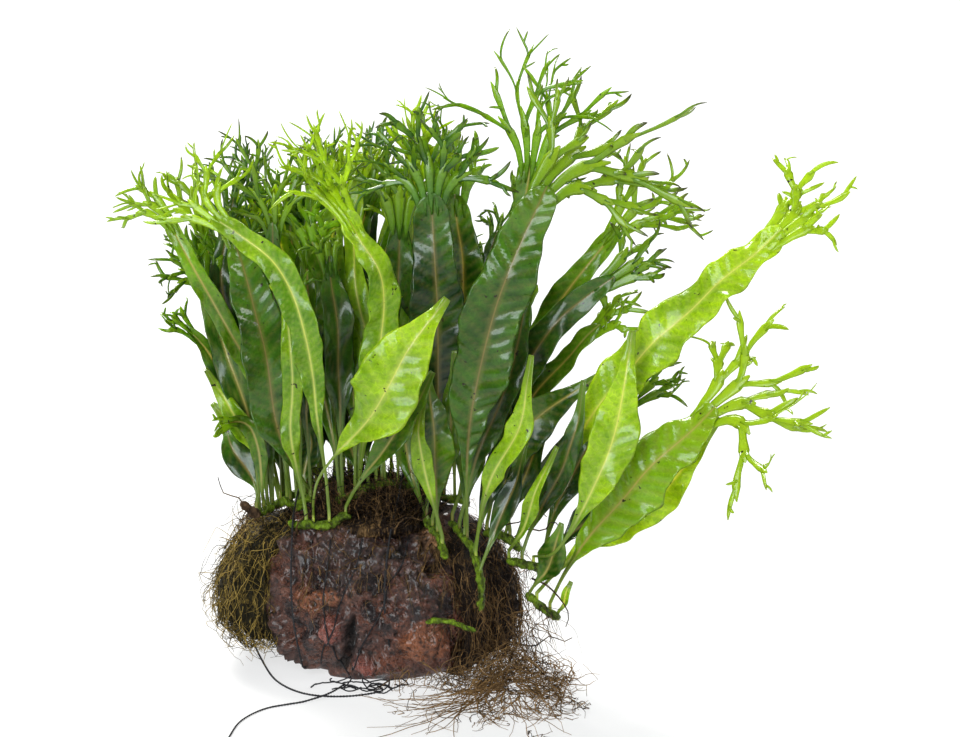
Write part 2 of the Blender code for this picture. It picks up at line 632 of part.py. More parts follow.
class Bush:
    """All fronds, as linked places that can be moved apart from front to back."""

    def __init__(self, fronds):
        self.fronds = fronds
        self.before = []
        self.owner = []
        self.freedom = []
        self.sample = []
        self.spots = []
        for number, frond in enumerate(fronds):
            self.add(number, frond)
        self.next = list(range(len(self.before)))
        for i, before in enumerate(self.before):
            if self.next[before] == before:
                self.next[before] = i
        self.shift = np.zeros(len(self.before))

    def add(self, number, frond):
        walked = 0.0
        spine = []
        for i, spot in enumerate(frond.middle):
            walked += (spot - frond.middle[i - 1]).length if i else 0.0
            spine.append(self.add_place(number, spine[-1] if spine else None, walked))
            half = frond.half_at(i)
            for side in (-0.85, 0.0, 0.85):
                self.spots.append((spine[-1], *(spot + frond.across[i] * half * side), half))
        for lobe in frond.lobes:
            before = spine[-1]
            for spot in lobe["places"]:
                before = self.add_place(number, before, walked)
                self.spots.append((before, *spot, 2.5))

    def add_place(self, number, before, walked):
        index = len(self.before)
        self.before.append(index if before is None else before)
        self.owner.append(number)
        self.freedom.append(ramp(FREE_FROM, FREE_AFTER, walked))
        return index

    def settle(self):
        link = np.array([s[0] for s in self.spots])
        start = np.array([s[1:4] for s in self.spots])
        half = np.array([s[4] for s in self.spots])
        owner = np.array(self.owner)[link]
        flat = start[:, [0, 2]]
        gap = np.hypot(*(flat[:, None] - flat[None]).transpose(2, 0, 1))
        blade = half > 2 * STALK_HALF
        near = REACH_STALK + (REACH_BLADE - REACH_STALK) * (blade[:, None] * 0.5 + blade[None] * 0.5)
        first, second = np.nonzero((gap < near) & (owner[:, None] < owner[None]))
        apart = np.where(blade[first] & blade[second], BLADE_APART, STALK_APART)
        pair = owner[first] * len(self.fronds) + owner[second]
        kinds = len(self.fronds) ** 2
        depth = start[second, 1] - start[first, 1]
        order = np.sign(np.bincount(pair, depth, kinds) + 1e-3)[pair]
        before, after = np.array(self.before), np.array(self.next)
        freedom = np.array(self.freedom)
        for _ in range(SETTLE_ROUNDS):
            y = start[:, 1] + self.shift[link]
            short = np.maximum(0.0, apart - order * (y[second] - y[first])) * order * 0.5
            push = np.bincount(link[second], short, len(before))
            push -= np.bincount(link[first], short, len(before))
            met = np.bincount(link[second], short != 0, len(before))
            met += np.bincount(link[first], short != 0, len(before))
            move = push / np.maximum(1.0, met)
            for _ in range(3):
                move = 0.5 * move + 0.25 * move[before] + 0.25 * move[after]
            self.shift += PUSH * move * freedom
            bend = 0.5 * (self.shift[before] + self.shift[after]) - self.shift
            self.shift += STIFFNESS * bend * freedom

    def move_fronds(self):
        index = 0
        for frond in self.fronds:
            for i in range(STATIONS):
                frond.middle[i].y += self.shift[index]
                index += 1
            for lobe in frond.lobes:
                for spot in lobe["places"]:
                    spot.y += self.shift[index]
                    index += 1


def make_fronds(routes, parent):
    chance = random.Random(SEED)
    fronds = [Frond(row, routes, chance) for row in FRONDS]
    bush = Bush(fronds)
    bush.settle()
    bush.move_fronds()
    for frond in fronds:
        frond.make(parent)


def main():
    clear_scene()
    whole = bpy.data.objects.new("fern_on_rock", None)
    bpy.context.collection.objects.link(whole)
    rock = make_rock(whole)
    left = make_side_mat("root_mat_left", range(15, 22), range(4, 10), left_mat_thickness, whole)
    right = make_side_mat("root_mat_right", range(32, 42), range(4, 12), right_mat_thickness, whole)
    top = make_top_mat(whole)
    make_skirt(whole)
    bpy.context.view_layer.update()
    ground = surface_of([rock, left, right, top])
    routes, stems = make_rhizomes(ground, whole)
    bpy.context.view_layer.update()
    make_turns(surface_of([rock, left, right, top, *stems]), whole)
    make_tails(whole)
    make_fronds(routes, whole)


main()
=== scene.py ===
"""Looks of a java fern with crested fronds, tied to a lump of lava rock with black thread.

Work inside this file is in millimetres; meshes are scaled to metres as they are made.
X runs to the right, Y away from the front and Z up, as in the frame.
"""

import json
import math
import random

import bpy
import numpy as np
from mathutils import Matrix, Vector, noise
from mathutils.bvhtree import BVHTree
from mathutils.kdtree import KDTree


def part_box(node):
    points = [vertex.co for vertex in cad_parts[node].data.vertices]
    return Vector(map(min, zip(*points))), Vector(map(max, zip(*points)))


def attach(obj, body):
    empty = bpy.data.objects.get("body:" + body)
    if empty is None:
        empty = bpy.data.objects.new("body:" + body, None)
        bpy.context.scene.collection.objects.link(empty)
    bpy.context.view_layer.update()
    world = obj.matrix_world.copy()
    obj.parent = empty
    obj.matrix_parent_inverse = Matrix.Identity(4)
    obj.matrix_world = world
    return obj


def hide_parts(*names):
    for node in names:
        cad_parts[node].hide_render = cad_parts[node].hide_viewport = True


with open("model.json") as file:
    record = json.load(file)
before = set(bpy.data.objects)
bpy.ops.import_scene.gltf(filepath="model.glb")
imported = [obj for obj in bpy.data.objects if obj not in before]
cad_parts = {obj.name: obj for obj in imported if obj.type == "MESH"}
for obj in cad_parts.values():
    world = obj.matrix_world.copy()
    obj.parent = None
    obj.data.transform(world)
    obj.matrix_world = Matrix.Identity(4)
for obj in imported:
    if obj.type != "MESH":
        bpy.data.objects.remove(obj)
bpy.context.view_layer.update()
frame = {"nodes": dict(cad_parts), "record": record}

MM = 0.001
UP = np.array((0.0, 0.0, 1.0))


def link(item):
    bpy.context.scene.collection.objects.link(item)


# ---- the camera

PIXEL_MM = 0.35
PICTURE_WIDE = 960
SENSOR = 36.0
CAMERA_TARGET = Vector((0.0378, 0.0, 0.106))
CAMERA_AWAY = 1.0
CAMERA_ABOVE = math.radians(15.0)


def make_camera():
    data = bpy.data.cameras.new("camera")
    data.sensor_width = SENSOR
    data.lens = SENSOR * CAMERA_AWAY / (PICTURE_WIDE * PIXEL_MM * MM)
    data.clip_start = 0.01
    data.clip_end = 50.0
    camera = bpy.data.objects.new("camera", data)
    back = Vector((0.0, -math.cos(CAMERA_ABOVE), math.sin(CAMERA_ABOVE)))
    camera.location = CAMERA_TARGET + back * CAMERA_AWAY
    camera.rotation_mode = "QUATERNION"
    camera.rotation_quaternion = (-back).to_track_quat("-Z", "Y")
    link(camera)
    bpy.context.scene.camera = camera


# ---- small tools

def unit(vectors):
    sizes = np.linalg.norm(vectors, axis=-1, keepdims=True)
    return vectors / np.maximum(sizes, 1e-9)


def dot(a, b):
    return (a * b).sum(-1, keepdims=True)


def ramp(low, high, value):
    """A smooth rise from 0 to 1 as the value goes from low to high."""
    t = np.clip((value - low) / (high - low), 0.0, 1.0)
    return t * t * (3 - 2 * t)


def smooth(values, wanted):
    """A row of values read at places between its members, on a smooth curve."""
    values = np.asarray(values, float)
    ends = np.vstack([2 * values[0] - values[1], values, 2 * values[-1] - values[-2]])
    i = np.clip(np.floor(wanted).astype(int), 0, len(values) - 2)
    t = (wanted - i)[:, None]
    a, b, c, d = (ends[i + k] for k in range(4))
    return 0.5 * (2 * b + (c - a) * t + (2 * a - 5 * b + 4 * c - d) * t**2
                  + (3 * b - a - 3 * c + d) * t**3)


def run_of(points):
    """The distance walked from the first point to each one."""
    steps = np.linalg.norm(np.diff(points, axis=0), axis=1)
    return np.concatenate([[0.0], np.cumsum(steps)])


def spaced(points, count):
    """This many evenly spaced places along a line of points."""
    run = run_of(points)
    wanted = np.linspace(0.0, run[-1], count)
    return np.stack([np.interp(wanted, run, points[:, k]) for k in range(3)], 1)


def evenly(points, step):
    """Places about this far apart along a line of points."""
    return spaced(points, max(2, round(run_of(points)[-1] / step) + 1))


def through(points, count):
    """Evenly spaced places along a smooth curve through the points."""
    last = len(points) - 1
    return spaced(smooth(points, np.linspace(0.0, last, 16 * last + 1)), count)


def lifted(points, lowest):
    """The points with none of them under a height."""
    points[:, 2] = np.maximum(points[:, 2], lowest)
    return points


def fractal(places, scale, octaves, shift=0.0):
    offset = Vector((shift, 2 * shift, -shift))
    return np.array([noise.fractal(Vector(p) * scale + offset, 0.9, 2.1, octaves) for p in places])


def ridged(places, scale, shift=0.0):
    offset = Vector((shift, 2 * shift, -shift))
    return np.array([1 - 2 * abs(noise.noise(Vector(p) * scale + offset)) for p in places])


def surface_of(points, faces):
    return BVHTree.FromPolygons([Vector(p) for p in points], faces)


def place_finder(places):
    """A tree that finds which of the places are near a point."""
    tree = KDTree(len(places))
    for i, place in enumerate(places):
        tree.insert(Vector(place), i)
    tree.balance()
    return tree


# ---- reading the frame

def nodes_named(start):
    return sorted(name for name in frame["nodes"] if name.startswith(start))


def box_of(name):
    """A node's lowest and highest corners in millimetres."""
    return [np.array(corner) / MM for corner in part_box(name)]


def node_mesh(name):
    """Places in millimetres and faces of a CAD node, with doubled corners merged."""
    data = frame["nodes"][name].data
    places = np.empty(len(data.vertices) * 3)
    data.vertices.foreach_get("co", places)
    places = places.reshape(-1, 3) / MM
    _, kept, same = np.unique(np.round(places, 2), axis=0, return_index=True, return_inverse=True)
    same = same.ravel()
    faces = [[int(same[i]) for i in face.vertices] for face in data.polygons]
    return places[kept], [f for f in faces if len(set(f)) == len(f)]


def neighbours(count, faces):
    """Which vertices an edge joins each vertex to."""
    near = [set() for _ in range(count)]
    for face in faces:
        for a, b in zip(face, face[1:] + face[:1]):
            near[a].add(b)
            near[b].add(a)
    return near


def rows_from(start, near):
    """Vertices grouped by how many edges away from the start they are."""
    seen = {int(i) for i in start}
    rows = [sorted(seen)]
    while rows[-1]:
        found = sorted({j for i in rows[-1] for j in near[i]} - seen)
        seen |= set(found)
        rows.append(found)
    return rows[:-1]


# ---- making meshes

def make_piece(name, points, faces, material, slot, replaced=(), values=None):
    mesh = bpy.data.meshes.new(name)
    mesh.from_pydata((np.asarray(points) * MM).tolist(), [], faces)
    mesh.materials.append(material)
    for key, numbers in (values or {}).items():
        layer = mesh.attributes.new(key, "FLOAT", "POINT")
        layer.data.foreach_set("value", np.asarray(numbers, np.float32))
    mesh.shade_smooth()
    item = bpy.data.objects.new(name, mesh)
    link(item)
    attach(item, "root")
    if replaced:
        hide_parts(*replaced)
    return item


class Batch:
    """Several meshes gathered into one, with a value of each kind for every vertex."""

    def __init__(self, *kinds):
        self.points = []
        self.faces = []
        self.values = {kind: [] for kind in kinds}
        self.count = 0

    def add(self, points, faces, **values):
        self.points.append(points)
        self.faces += [[i + self.count for i in face] for face in faces]
        self.count += len(points)
        for kind, numbers in self.values.items():
            numbers.append(np.broadcast_to(np.asarray(values.get(kind, 0.0), float), len(points)))

    def piece(self, name, material, slot, replaced=()):
        values = {kind: np.concatenate(numbers) for kind, numbers in self.values.items()}
        make_piece(name, np.concatenate(self.points), self.faces, material, slot, replaced, values)


def ring_faces(index):
    """Faces of closed bars whose rings have these vertex numbers."""
    a, c = index[:, :-1], index[:, 1:]
    b, d = np.roll(a, -1, axis=2), np.roll(c, -1, axis=2)
    quads = np.stack([a, b, d, c], -1).reshape(-1, 4).tolist()
    return quads + index[:, 0, ::-1].tolist() + index[:, -1].tolist()


def sweep(paths, normals, wide, thick, sides):
    """Closed oval bars along many paths with the same number of places each."""
    count, steps, _ = paths.shape
    along = unit(np.gradient(paths, axis=1))
    normals = unit(normals - along * dot(normals, along))
    side = np.cross(normals, along)
    turn = np.arange(sides) * math.tau / sides
    rings = (paths[:, :, None] + side[:, :, None] * (wide[..., None] * np.cos(turn))[..., None]
             + normals[:, :, None] * (thick[..., None] * np.sin(turn))[..., None])
    index = np.arange(count * steps * sides).reshape(count, steps, sides)
    return rings.reshape(-1, 3), ring_faces(index)


def tubes(paths, size, first, sides):
    """Closed round tubes along many paths, with normals that start near one way and don't twist."""
    along = unit(np.gradient(paths, axis=1))
    normals = np.empty_like(paths)
    now = np.asarray(first, float)
    for i in range(paths.shape[1]):
        now = unit(now - along[:, i] * dot(now, along[:, i]))
        normals[:, i] = now
    size = np.broadcast_to(size, paths.shape[:2])
    return sweep(paths, normals, size, size, sides)


# ---- materials

def rgb(*colour):
    return (*colour, 1.0)


class Skin:
    """A new material, with short ways to add the nodes that it is made from."""

    def __init__(self, name):
        self.material = bpy.data.materials.new(name)
        self.material.use_nodes = True
        self.tree = self.material.node_tree
        self.shader = self.tree.nodes["Principled BSDF"]
        self.where = self.node("ShaderNodeTexCoord").outputs["Object"]

    def put(self, value, socket):
        """Links another node's socket to this one, or sets it to a number or colour."""
        if isinstance(value, bpy.types.NodeSocket):
            self.tree.links.new(value, socket)
        else:
            socket.default_value = value

    def node(self, kind, inputs=(), **settings):
        node = self.tree.nodes.new(kind)
        for key, value in settings.items():
            setattr(node, key, value)
        for name, value in inputs:
            self.put(value, node.inputs[name])
        return node

    def blend(self, factor, first, second, kind="MIX"):
        inputs = ((0, factor), (6, first), (7, second))
        return self.node("ShaderNodeMix", inputs, data_type="RGBA", blend_type=kind).outputs[2]

    def times(self, colour, *by):
        return self.blend(1.0, colour, rgb(*by), "MULTIPLY")

    def math(self, kind, first, second):
        return self.node("ShaderNodeMath", ((0, first), (1, second)), operation=kind).outputs[0]

    def between(self, value, low, high, to_low=0.0, to_high=1.0):
        """A value moved from one range to another, and kept inside it."""
        inputs = (("Value", value), ("From Min", low), ("From Max", high), ("To Min", to_low),
                  ("To Max", to_high))
        return self.node("ShaderNodeMapRange", inputs).outputs["Result"]

    def laid(self, colour, over, value, *ranges):
        """One colour laid over another, as thickly as a value says."""
        return self.blend(self.between(value, *ranges), colour, over)

    def mottle(self, scale, detail=3.0, roughness=0.55, where=None):
        inputs = (("Vector", where or self.where), ("Scale", scale), ("Detail", detail),
                  ("Roughness", roughness))
        return self.node("ShaderNodeTexNoise", inputs).outputs["Fac"]

    def cells(self, scale, feature="F1"):
        inputs = (("Vector", self.where), ("Scale", scale))
        return self.node("ShaderNodeTexVoronoi", inputs, feature=feature).outputs["Distance"]

    def value(self, name):
        """A value that the mesh carries."""
        return self.node("ShaderNodeAttribute", attribute_name=name).outputs["Fac"]

    def bump(self, height, distance, strength):
        inputs = (("Height", height), ("Distance", distance), ("Strength", strength))
        return self.node("ShaderNodeBump", inputs).outputs["Normal"]

    def finish(self, colour, roughness, specular, **others):
        """Sets the shader's inputs; an underscore in a name stands for a space."""
        inputs = {"Base Color": colour, "Roughness": roughness, "Specular IOR Level": specular}
        inputs |= {name.replace("_", " "): value for name, value in others.items()}
        for name, value in inputs.items():
            self.put(value, self.shader.inputs[name])
        return self.material


STALK_COLOUR = rgb(0.11, 0.185, 0.024)
YOUNG_COLOUR = rgb(0.29, 0.42, 0.012)
SPOT_COLOUR = rgb(0.020, 0.016, 0.005)
# Each green by its slot: name, old and fresh colour, veins, crest tips, how much light comes through.
GREENS = {
    "lime": ("lime", rgb(0.085, 0.21, 0.003), rgb(0.29, 0.45, 0.010), rgb(0.46, 0.50, 0.14),
             rgb(0.06, 0.035, 0.012), 0.46),
    "mid": ("green", rgb(0.013, 0.062, 0.0015), rgb(0.125, 0.27, 0.005), rgb(0.34, 0.30, 0.09),
            rgb(0.035, 0.018, 0.007), 0.40),
    "dark": ("dark", rgb(0.004, 0.028, 0.003), rgb(0.055, 0.155, 0.007), rgb(0.19, 0.15, 0.045),
             rgb(0.016, 0.008, 0.004), 0.32),
}


def leaf_material(name, deep, fresh, vein, tip, see_through):
    """Wet frond skin: mottled green, paler veins, dark crest tips, light showing through."""
    skin = Skin(name + "_frond")
    tone = skin.value("tone")
    grain = skin.mottle(900.0, 4.0)
    net = skin.cells(430.0, "DISTANCE_TO_EDGE")
    patches = skin.between(skin.mottle(95.0), 0.35, 0.65, -0.28, 0.28)
    colour = skin.blend(skin.math("ADD", tone, patches), deep, fresh)
    dull = skin.times(colour, 0.55, 0.60, 0.50)
    colour = skin.laid(colour, dull, grain, 0.45, 0.70, 0.0, 0.55)
    pale = skin.times(colour, 1.45, 1.30, 1.15)
    colour = skin.laid(colour, pale, net, 0.0, 0.09, 0.6, 0.0)
    colour = skin.laid(colour, pale, skin.value("margin"), 0.3, 1.0, 0.0, 0.45)
    colour = skin.laid(colour, YOUNG_COLOUR, tone, 0.8, 2.0, 0.0, 0.9)
    colour = skin.blend(skin.value("vein"), colour, vein)
    colour = skin.blend(skin.value("stalk"), colour, STALK_COLOUR)
    colour = skin.laid(colour, SPOT_COLOUR, skin.mottle(420.0, 2.0), 0.70, 0.74)
    colour = skin.blend(skin.value("tip"), colour, tip)
    rough = skin.between(skin.mottle(260.0, 2.0), 0.35, 0.65, 0.24, 0.42)
    height = skin.math("ADD", skin.between(net, 0.0, 0.25, 0.0, 0.8), grain)
    normal = skin.bump(height, 0.00014, 0.6)
    skin.finish(colour, rough, 0.10, Coat_Weight=0.75, Coat_Roughness=0.16, Normal=normal)
    lit = skin.times(colour, 2.4, 2.0, 0.45)
    back = skin.node("ShaderNodeBsdfTranslucent", (("Color", lit), ("Normal", normal)))
    inputs = ((0, see_through), (1, skin.shader.outputs[0]), (2, back.outputs[0]))
    mix = skin.node("ShaderNodeMixShader", inputs)
    skin.put(mix.outputs[0], skin.tree.nodes["Material Output"].inputs["Surface"])
    return skin.material


# What is laid over the rock's ground colour, one after another: what drives it, the range in
# which it comes in, how thick it is at both ends of that range, and its colour.
ROCK_LAYERS = (
    ("patch", (0.53, 0.62, 0.0, 1.0), (0.0226, 0.0125, 0.0125)),
    ("patch", (0.30, 0.42, 0.8, 0.0), (0.2249, 0.0774, 0.0374)),
    ("rust", (0.0, 1.0, 0.0, 0.8), (0.3123, 0.1, 0.0374)),
    ("tan", (0.0, 1.0, 0.0, 0.9), (0.4997, 0.2374, 0.0937)),
    ("pink", (0.0, 1.0, 0.0, 0.85), (0.3249, 0.1, 0.075)),
    ("wet", (0.0, 1.0, 0.0, 0.92), (0.0125, 0.0087, 0.0101)),
    ("rubble", (0.38, 0.48, 0.6, 0.0), (0.0121, 0.0081, 0.0081)),
    ("rubble", (0.56, 0.70, 0.0, 0.6), (0.403, 0.1915, 0.131)),
    ("grit", (0.36, 0.50, 0.6, 0.0), (0.0101, 0.0062, 0.0062)),
    ("grit", (0.62, 0.78, 0.0, 0.7), (0.3498, 0.2124, 0.1624)),
    # The last three layers are painted shade: dark in the pores and gas holes, and in the sunk pits.
    ("holes", (0.0, 1.0), (0.0074, 0.0051, 0.0051)),
    ("small holes", (0.10, 0.30, 0.75, 0.0), (0.0125, 0.0074, 0.0074)),
    ("pit", (0.0, 1.0), (0.0051, 0.0038, 0.0038)),
)


def rock_material():
    """Wet lava: maroon and rust, with painted shade that makes its gas holes black, pale grit and glossy
    patches.
    """
    skin = Skin("wet_lava")
    # Pores from cells: painted shade darkens their middles, where the bump also sinks them.
    holes = skin.cells(560.0)
    drives = {look: skin.value(look) for look in ("rust", "tan", "pink", "wet", "pit")}
    drives["patch"] = skin.mottle(70.0, 5.0, 0.65)
    drives["grit"] = skin.mottle(1300.0, 6.0, 0.75)
    drives["rubble"] = skin.mottle(420.0, 5.0, 0.75)
    # Tinier pores, also painted dark as shade where the bump sinks them.
    drives["small holes"] = skin.cells(1400.0)
    unworn = skin.between(drives["pink"], 0.2, 0.8, 1.0, 0.15)
    drives["holes"] = skin.math("MULTIPLY", skin.between(holes, 0.0, 0.32, 0.9, 0.0), unworn)
    colour = skin.laid(rgb(0.0524, 0.0226, 0.0175), rgb(0.1875, 0.0625, 0.0351), skin.mottle(30.0, 5.0),
                       0.42, 0.60)
    for drive, ranges, layer in ROCK_LAYERS:
        colour = skin.laid(colour, rgb(*layer), drives[drive], *ranges)
    shine = skin.between(skin.math("MAXIMUM", drives["pink"], drives["wet"]), 0.0, 1.0, 0.0, 0.5)
    rough = skin.math("SUBTRACT", skin.between(skin.mottle(60.0, 3.0), 0.42, 0.60, 0.62, 0.18), shine)
    height = skin.math("ADD", skin.between(holes, 0.0, 0.35, -1.5, 0.0), drives["grit"])
    height = skin.math("ADD", skin.between(drives["rubble"], 0.3, 0.7, 0.0, 2.2), height)
    height = skin.math("ADD", skin.between(drives["small holes"], 0.05, 0.35, -0.8, 0.0), height)
    return skin.finish(colour, skin.between(rough, 0.14, 0.80, 0.14, 0.80), 0.45, Coat_Weight=0.30,
                       Coat_Roughness=0.15, Normal=skin.bump(height, 0.0006, 1.0))


def fibre_material(name, dark, light, rough):
    """Roots and stems: two browns or greens mottled by each strand's tone, streaked upwards."""
    skin = Skin(name)
    grain = skin.mottle(700.0, 3.0)
    patches = skin.between(skin.mottle(160.0, 2.0), 0.35, 0.65, -0.2, 0.2)
    upward = skin.node("ShaderNodeVectorMath", ((0, skin.where), (1, (1.0, 1.0, 0.16))),
                       operation="MULTIPLY")
    streaks = skin.mottle(1100.0, 3.0, 0.6, upward.outputs[0])
    tone = skin.math("ADD", skin.value("tone"), patches)
    tone = skin.math("ADD", tone, skin.between(streaks, 0.50, 0.66, 0.0, 0.5))
    colour = skin.blend(tone, rgb(*dark), rgb(*light))
    colour = skin.laid(colour, skin.times(colour, 0.35, 0.32, 0.30), grain, 0.50, 0.70, 0.0, 0.6)
    height = skin.math("ADD", grain, skin.between(streaks, 0.35, 0.65, 0.0, 3.0))
    return skin.finish(colour, skin.between(grain, 0.3, 0.7, rough - 0.12, rough + 0.12), 0.12,
                       Normal=skin.bump(height, 0.0003, 0.8))


def thread_material():
    skin = Skin("black_thread")
    fuzz = skin.mottle(3500.0, 3.0)
    colour = skin.laid(rgb(0.0021, 0.0021, 0.0028), rgb(0.014, 0.0133, 0.0161), fuzz, 0.35, 0.7)
    return skin.finish(colour, skin.between(fuzz, 0.3, 0.7, 0.45, 0.75), 0.3,
                       Normal=skin.bump(fuzz, 0.00008, 0.5))


def floor_material():
    skin = Skin("pale_floor")
    colour = skin.laid(rgb(0.20, 0.20, 0.205), rgb(0.23, 0.23, 0.23), skin.mottle(6.0, 3.0), 0.3, 0.7)
    return skin.finish(colour, 0.7, 0.2, Emission_Color=rgb(1.0, 1.0, 1.0), Emission_Strength=0.68)


# ---- the black thread

THREAD_RADIUS = 0.4
PLY_RADIUS = 0.54 * THREAD_RADIUS
PLY_OFFSET = 0.46 * THREAD_RADIUS
PLY_PITCH = 2.2
PLY_STEP = 0.36
THREAD_LOWEST = 0.02
# Each loose tail: the places that it bends through, in metres, and its real length.
TAILS = {
    "thread_tail_left": (((0.002, -0.033, 0), (0.004, -0.038, 0), (-0.008, -0.043, 0),
                          (-0.022, -0.041, 0), (-0.033, -0.029, 0), (-0.040, -0.008, 0),
                          (-0.046, 0.018, 0), (-0.049, 0.038, 0)), 0.120),
    "thread_tail_front": (((-0.009, -0.036, 0.0022), (-0.015, -0.045, 0.0019), (-0.027, -0.050, 0),
                           (-0.036, -0.055, 0), (-0.043, -0.066, 0), (-0.046, -0.082, 0),
                           (-0.050, -0.107, 0)), 0.091),
}
TAIL_POINTS = 42
TURN_POINTS = 40
ROCK_MIDDLE = np.array((0.0, 0.0, 24.5))


def twisted(route, upright):
    """Two plies wound round each other along a route."""
    line = evenly(route, PLY_STEP)
    along = unit(np.gradient(line, axis=0))
    first = unit(upright - along * dot(upright, along))
    second = np.cross(along, first)
    run = run_of(line)
    angle = math.tau * max(1, round(run[-1] / PLY_PITCH)) * run / run[-1]
    paths = np.array([line + PLY_OFFSET * (first * np.cos(angle + turn)[:, None]
                                           + second * np.sin(angle + turn)[:, None])
                      for turn in (0.0, math.pi)])
    points, faces = tubes(paths, PLY_RADIUS, np.cross(unit(paths[:, 1] - paths[:, 0]), (0.3, 0.9, 0.2)), 6)
    return lifted(points, THREAD_LOWEST), faces


def make_tails(material):
    for name, (bends, length) in TAILS.items():
        route = lifted(through(np.array(bends) / MM, TAIL_POINTS), THREAD_RADIUS + 0.05)
        tail = make_piece("loose_" + name, *twisted(route, UP), material, "thread", [name])


def turn_route(name):
    """The centre of each ring of a thread turn, in order round the rock."""
    points, _ = node_mesh(name)
    angle = np.arctan2(-points[:, 1], points[:, 2] - ROCK_MIDDLE[2])
    ring = np.round(angle / (math.tau / TURN_POINTS)).astype(int) % TURN_POINTS
    return np.array([points[ring == k].mean(0) for k in range(TURN_POINTS)])


def make_turns(material):
    for name in nodes_named("thread_turn_"):
        rings = turn_route(name)
        loop = np.vstack([rings[-2:], rings, rings[:3]])
        fine = smooth(loop, np.linspace(2.0, TURN_POINTS + 2.03, 8 * TURN_POINTS))
        points, faces = twisted(fine, np.array((1.0, 0.0, 0.0)))
        make_piece("tied_" + name, points, faces, material, "thread", [name])


KNOT_THREAD = 0.26
# Ends of the winding thread left tangled at the foot of the rock: middles of loose loops.
KNOT_SPOTS = ((-14, -33), (-9, -35), (-4, -36), (2, -35), (7, -36), (-2, -33), (4, -34))
LOOP_PLACES = 36


def make_knot(material):
    """A flat tangle of the fine winding thread where it was tied off, at the front."""
    chance = random.Random(5)
    paths = []
    for x, y in KNOT_SPOTS:
        wide, deep = chance.uniform(4, 9), chance.uniform(1.5, 4.0)
        turn = chance.gauss(0, 0.35)
        start = chance.uniform(0, math.tau)
        path = []
        for k in range(LOOP_PLACES):
            angle = start + math.tau * chance.uniform(0.85, 0.9) * k / (LOOP_PLACES - 1)
            a, b = wide * math.cos(angle), deep * math.sin(angle)
            height = 0.35 + 2.2 * max(0.0, math.sin(angle * 1.5 + start)) + 0.3 * chance.random()
            path.append((x + a * math.cos(turn) - b * math.sin(turn),
                         y + a * math.sin(turn) + b * math.cos(turn), height))
        paths.append(smooth(np.array(path), np.linspace(0, LOOP_PLACES - 1, 80)))
    points, faces = tubes(np.array(paths), KNOT_THREAD, (0.1, 0.2, 1.0), 5)
    make_piece("knot_of_winding_thread", lifted(points, THREAD_LOWEST), faces, material, "thread")


IN_FRONT = -80
# Fine winding thread pressed against the rock's front: x and z of the places it passes.
STRANDS = (
    ((-14, 51), (-15, 42), (-16.5, 31), (-15, 20), (-12.5, 10), (-8, 2)),
    ((-3, 51), (-5, 43), (-10, 32), (-13, 22), (-17, 12), (-18, 5)),
    ((13, 50), (11, 44), (6, 36), (4, 28), (-3, 15), (-7, 4)),
)


def make_strands(rock, material):
    """Lays the fine thread on the rock's front."""
    paths = []
    for places in STRANDS:
        path = []
        for x, _, z in through(np.array([(x, 0.0, z) for x, z in places]), 90):
            hit = rock.ray_cast(Vector((x, IN_FRONT, z)), Vector((0, 1, 0)))[0]
            path.append((x, (hit.y if hit else -30.0) - 0.35, z))
        paths.append(path)
    paths = np.array(paths, float)
    paths[:, 1:-1, 1] = np.minimum(paths[:, 1:-1, 1], 0.5 * (paths[:, :-2, 1] + paths[:, 2:, 1]))
    points, faces = tubes(paths, KNOT_THREAD, (0.1, 1.0, 0.2), 5)
    make_piece("pressed_winding_thread", points, faces, material, "thread")


# ---- the rock

ROCK_TURNS = 360
ROCK_ROWS = 156
OUTSIDE = 200.0


def rock_directions():
    """Ways out from the rock's middle, row under row."""
    up = math.pi / 2 - math.pi * (np.arange(1, ROCK_ROWS) / ROCK_ROWS)
    around = math.tau * np.arange(ROCK_TURNS) / ROCK_TURNS
    up, around = np.meshgrid(up, around, indexing="ij")
    return np.stack([np.cos(around) * np.cos(up), np.sin(around) * np.cos(up), np.sin(up)], -1)


def blurred(grid, size):
    """The grid softened along both ways; it closes on itself along the second."""
    for _ in range(size):
        grid = 0.5 * grid + 0.25 * (np.roll(grid, 1, 1) + np.roll(grid, -1, 1))
        inside = 0.5 * grid[1:-1] + 0.25 * (grid[:-2] + grid[2:])
        grid = np.vstack([grid[:1], inside, grid[-1:]])
    return grid
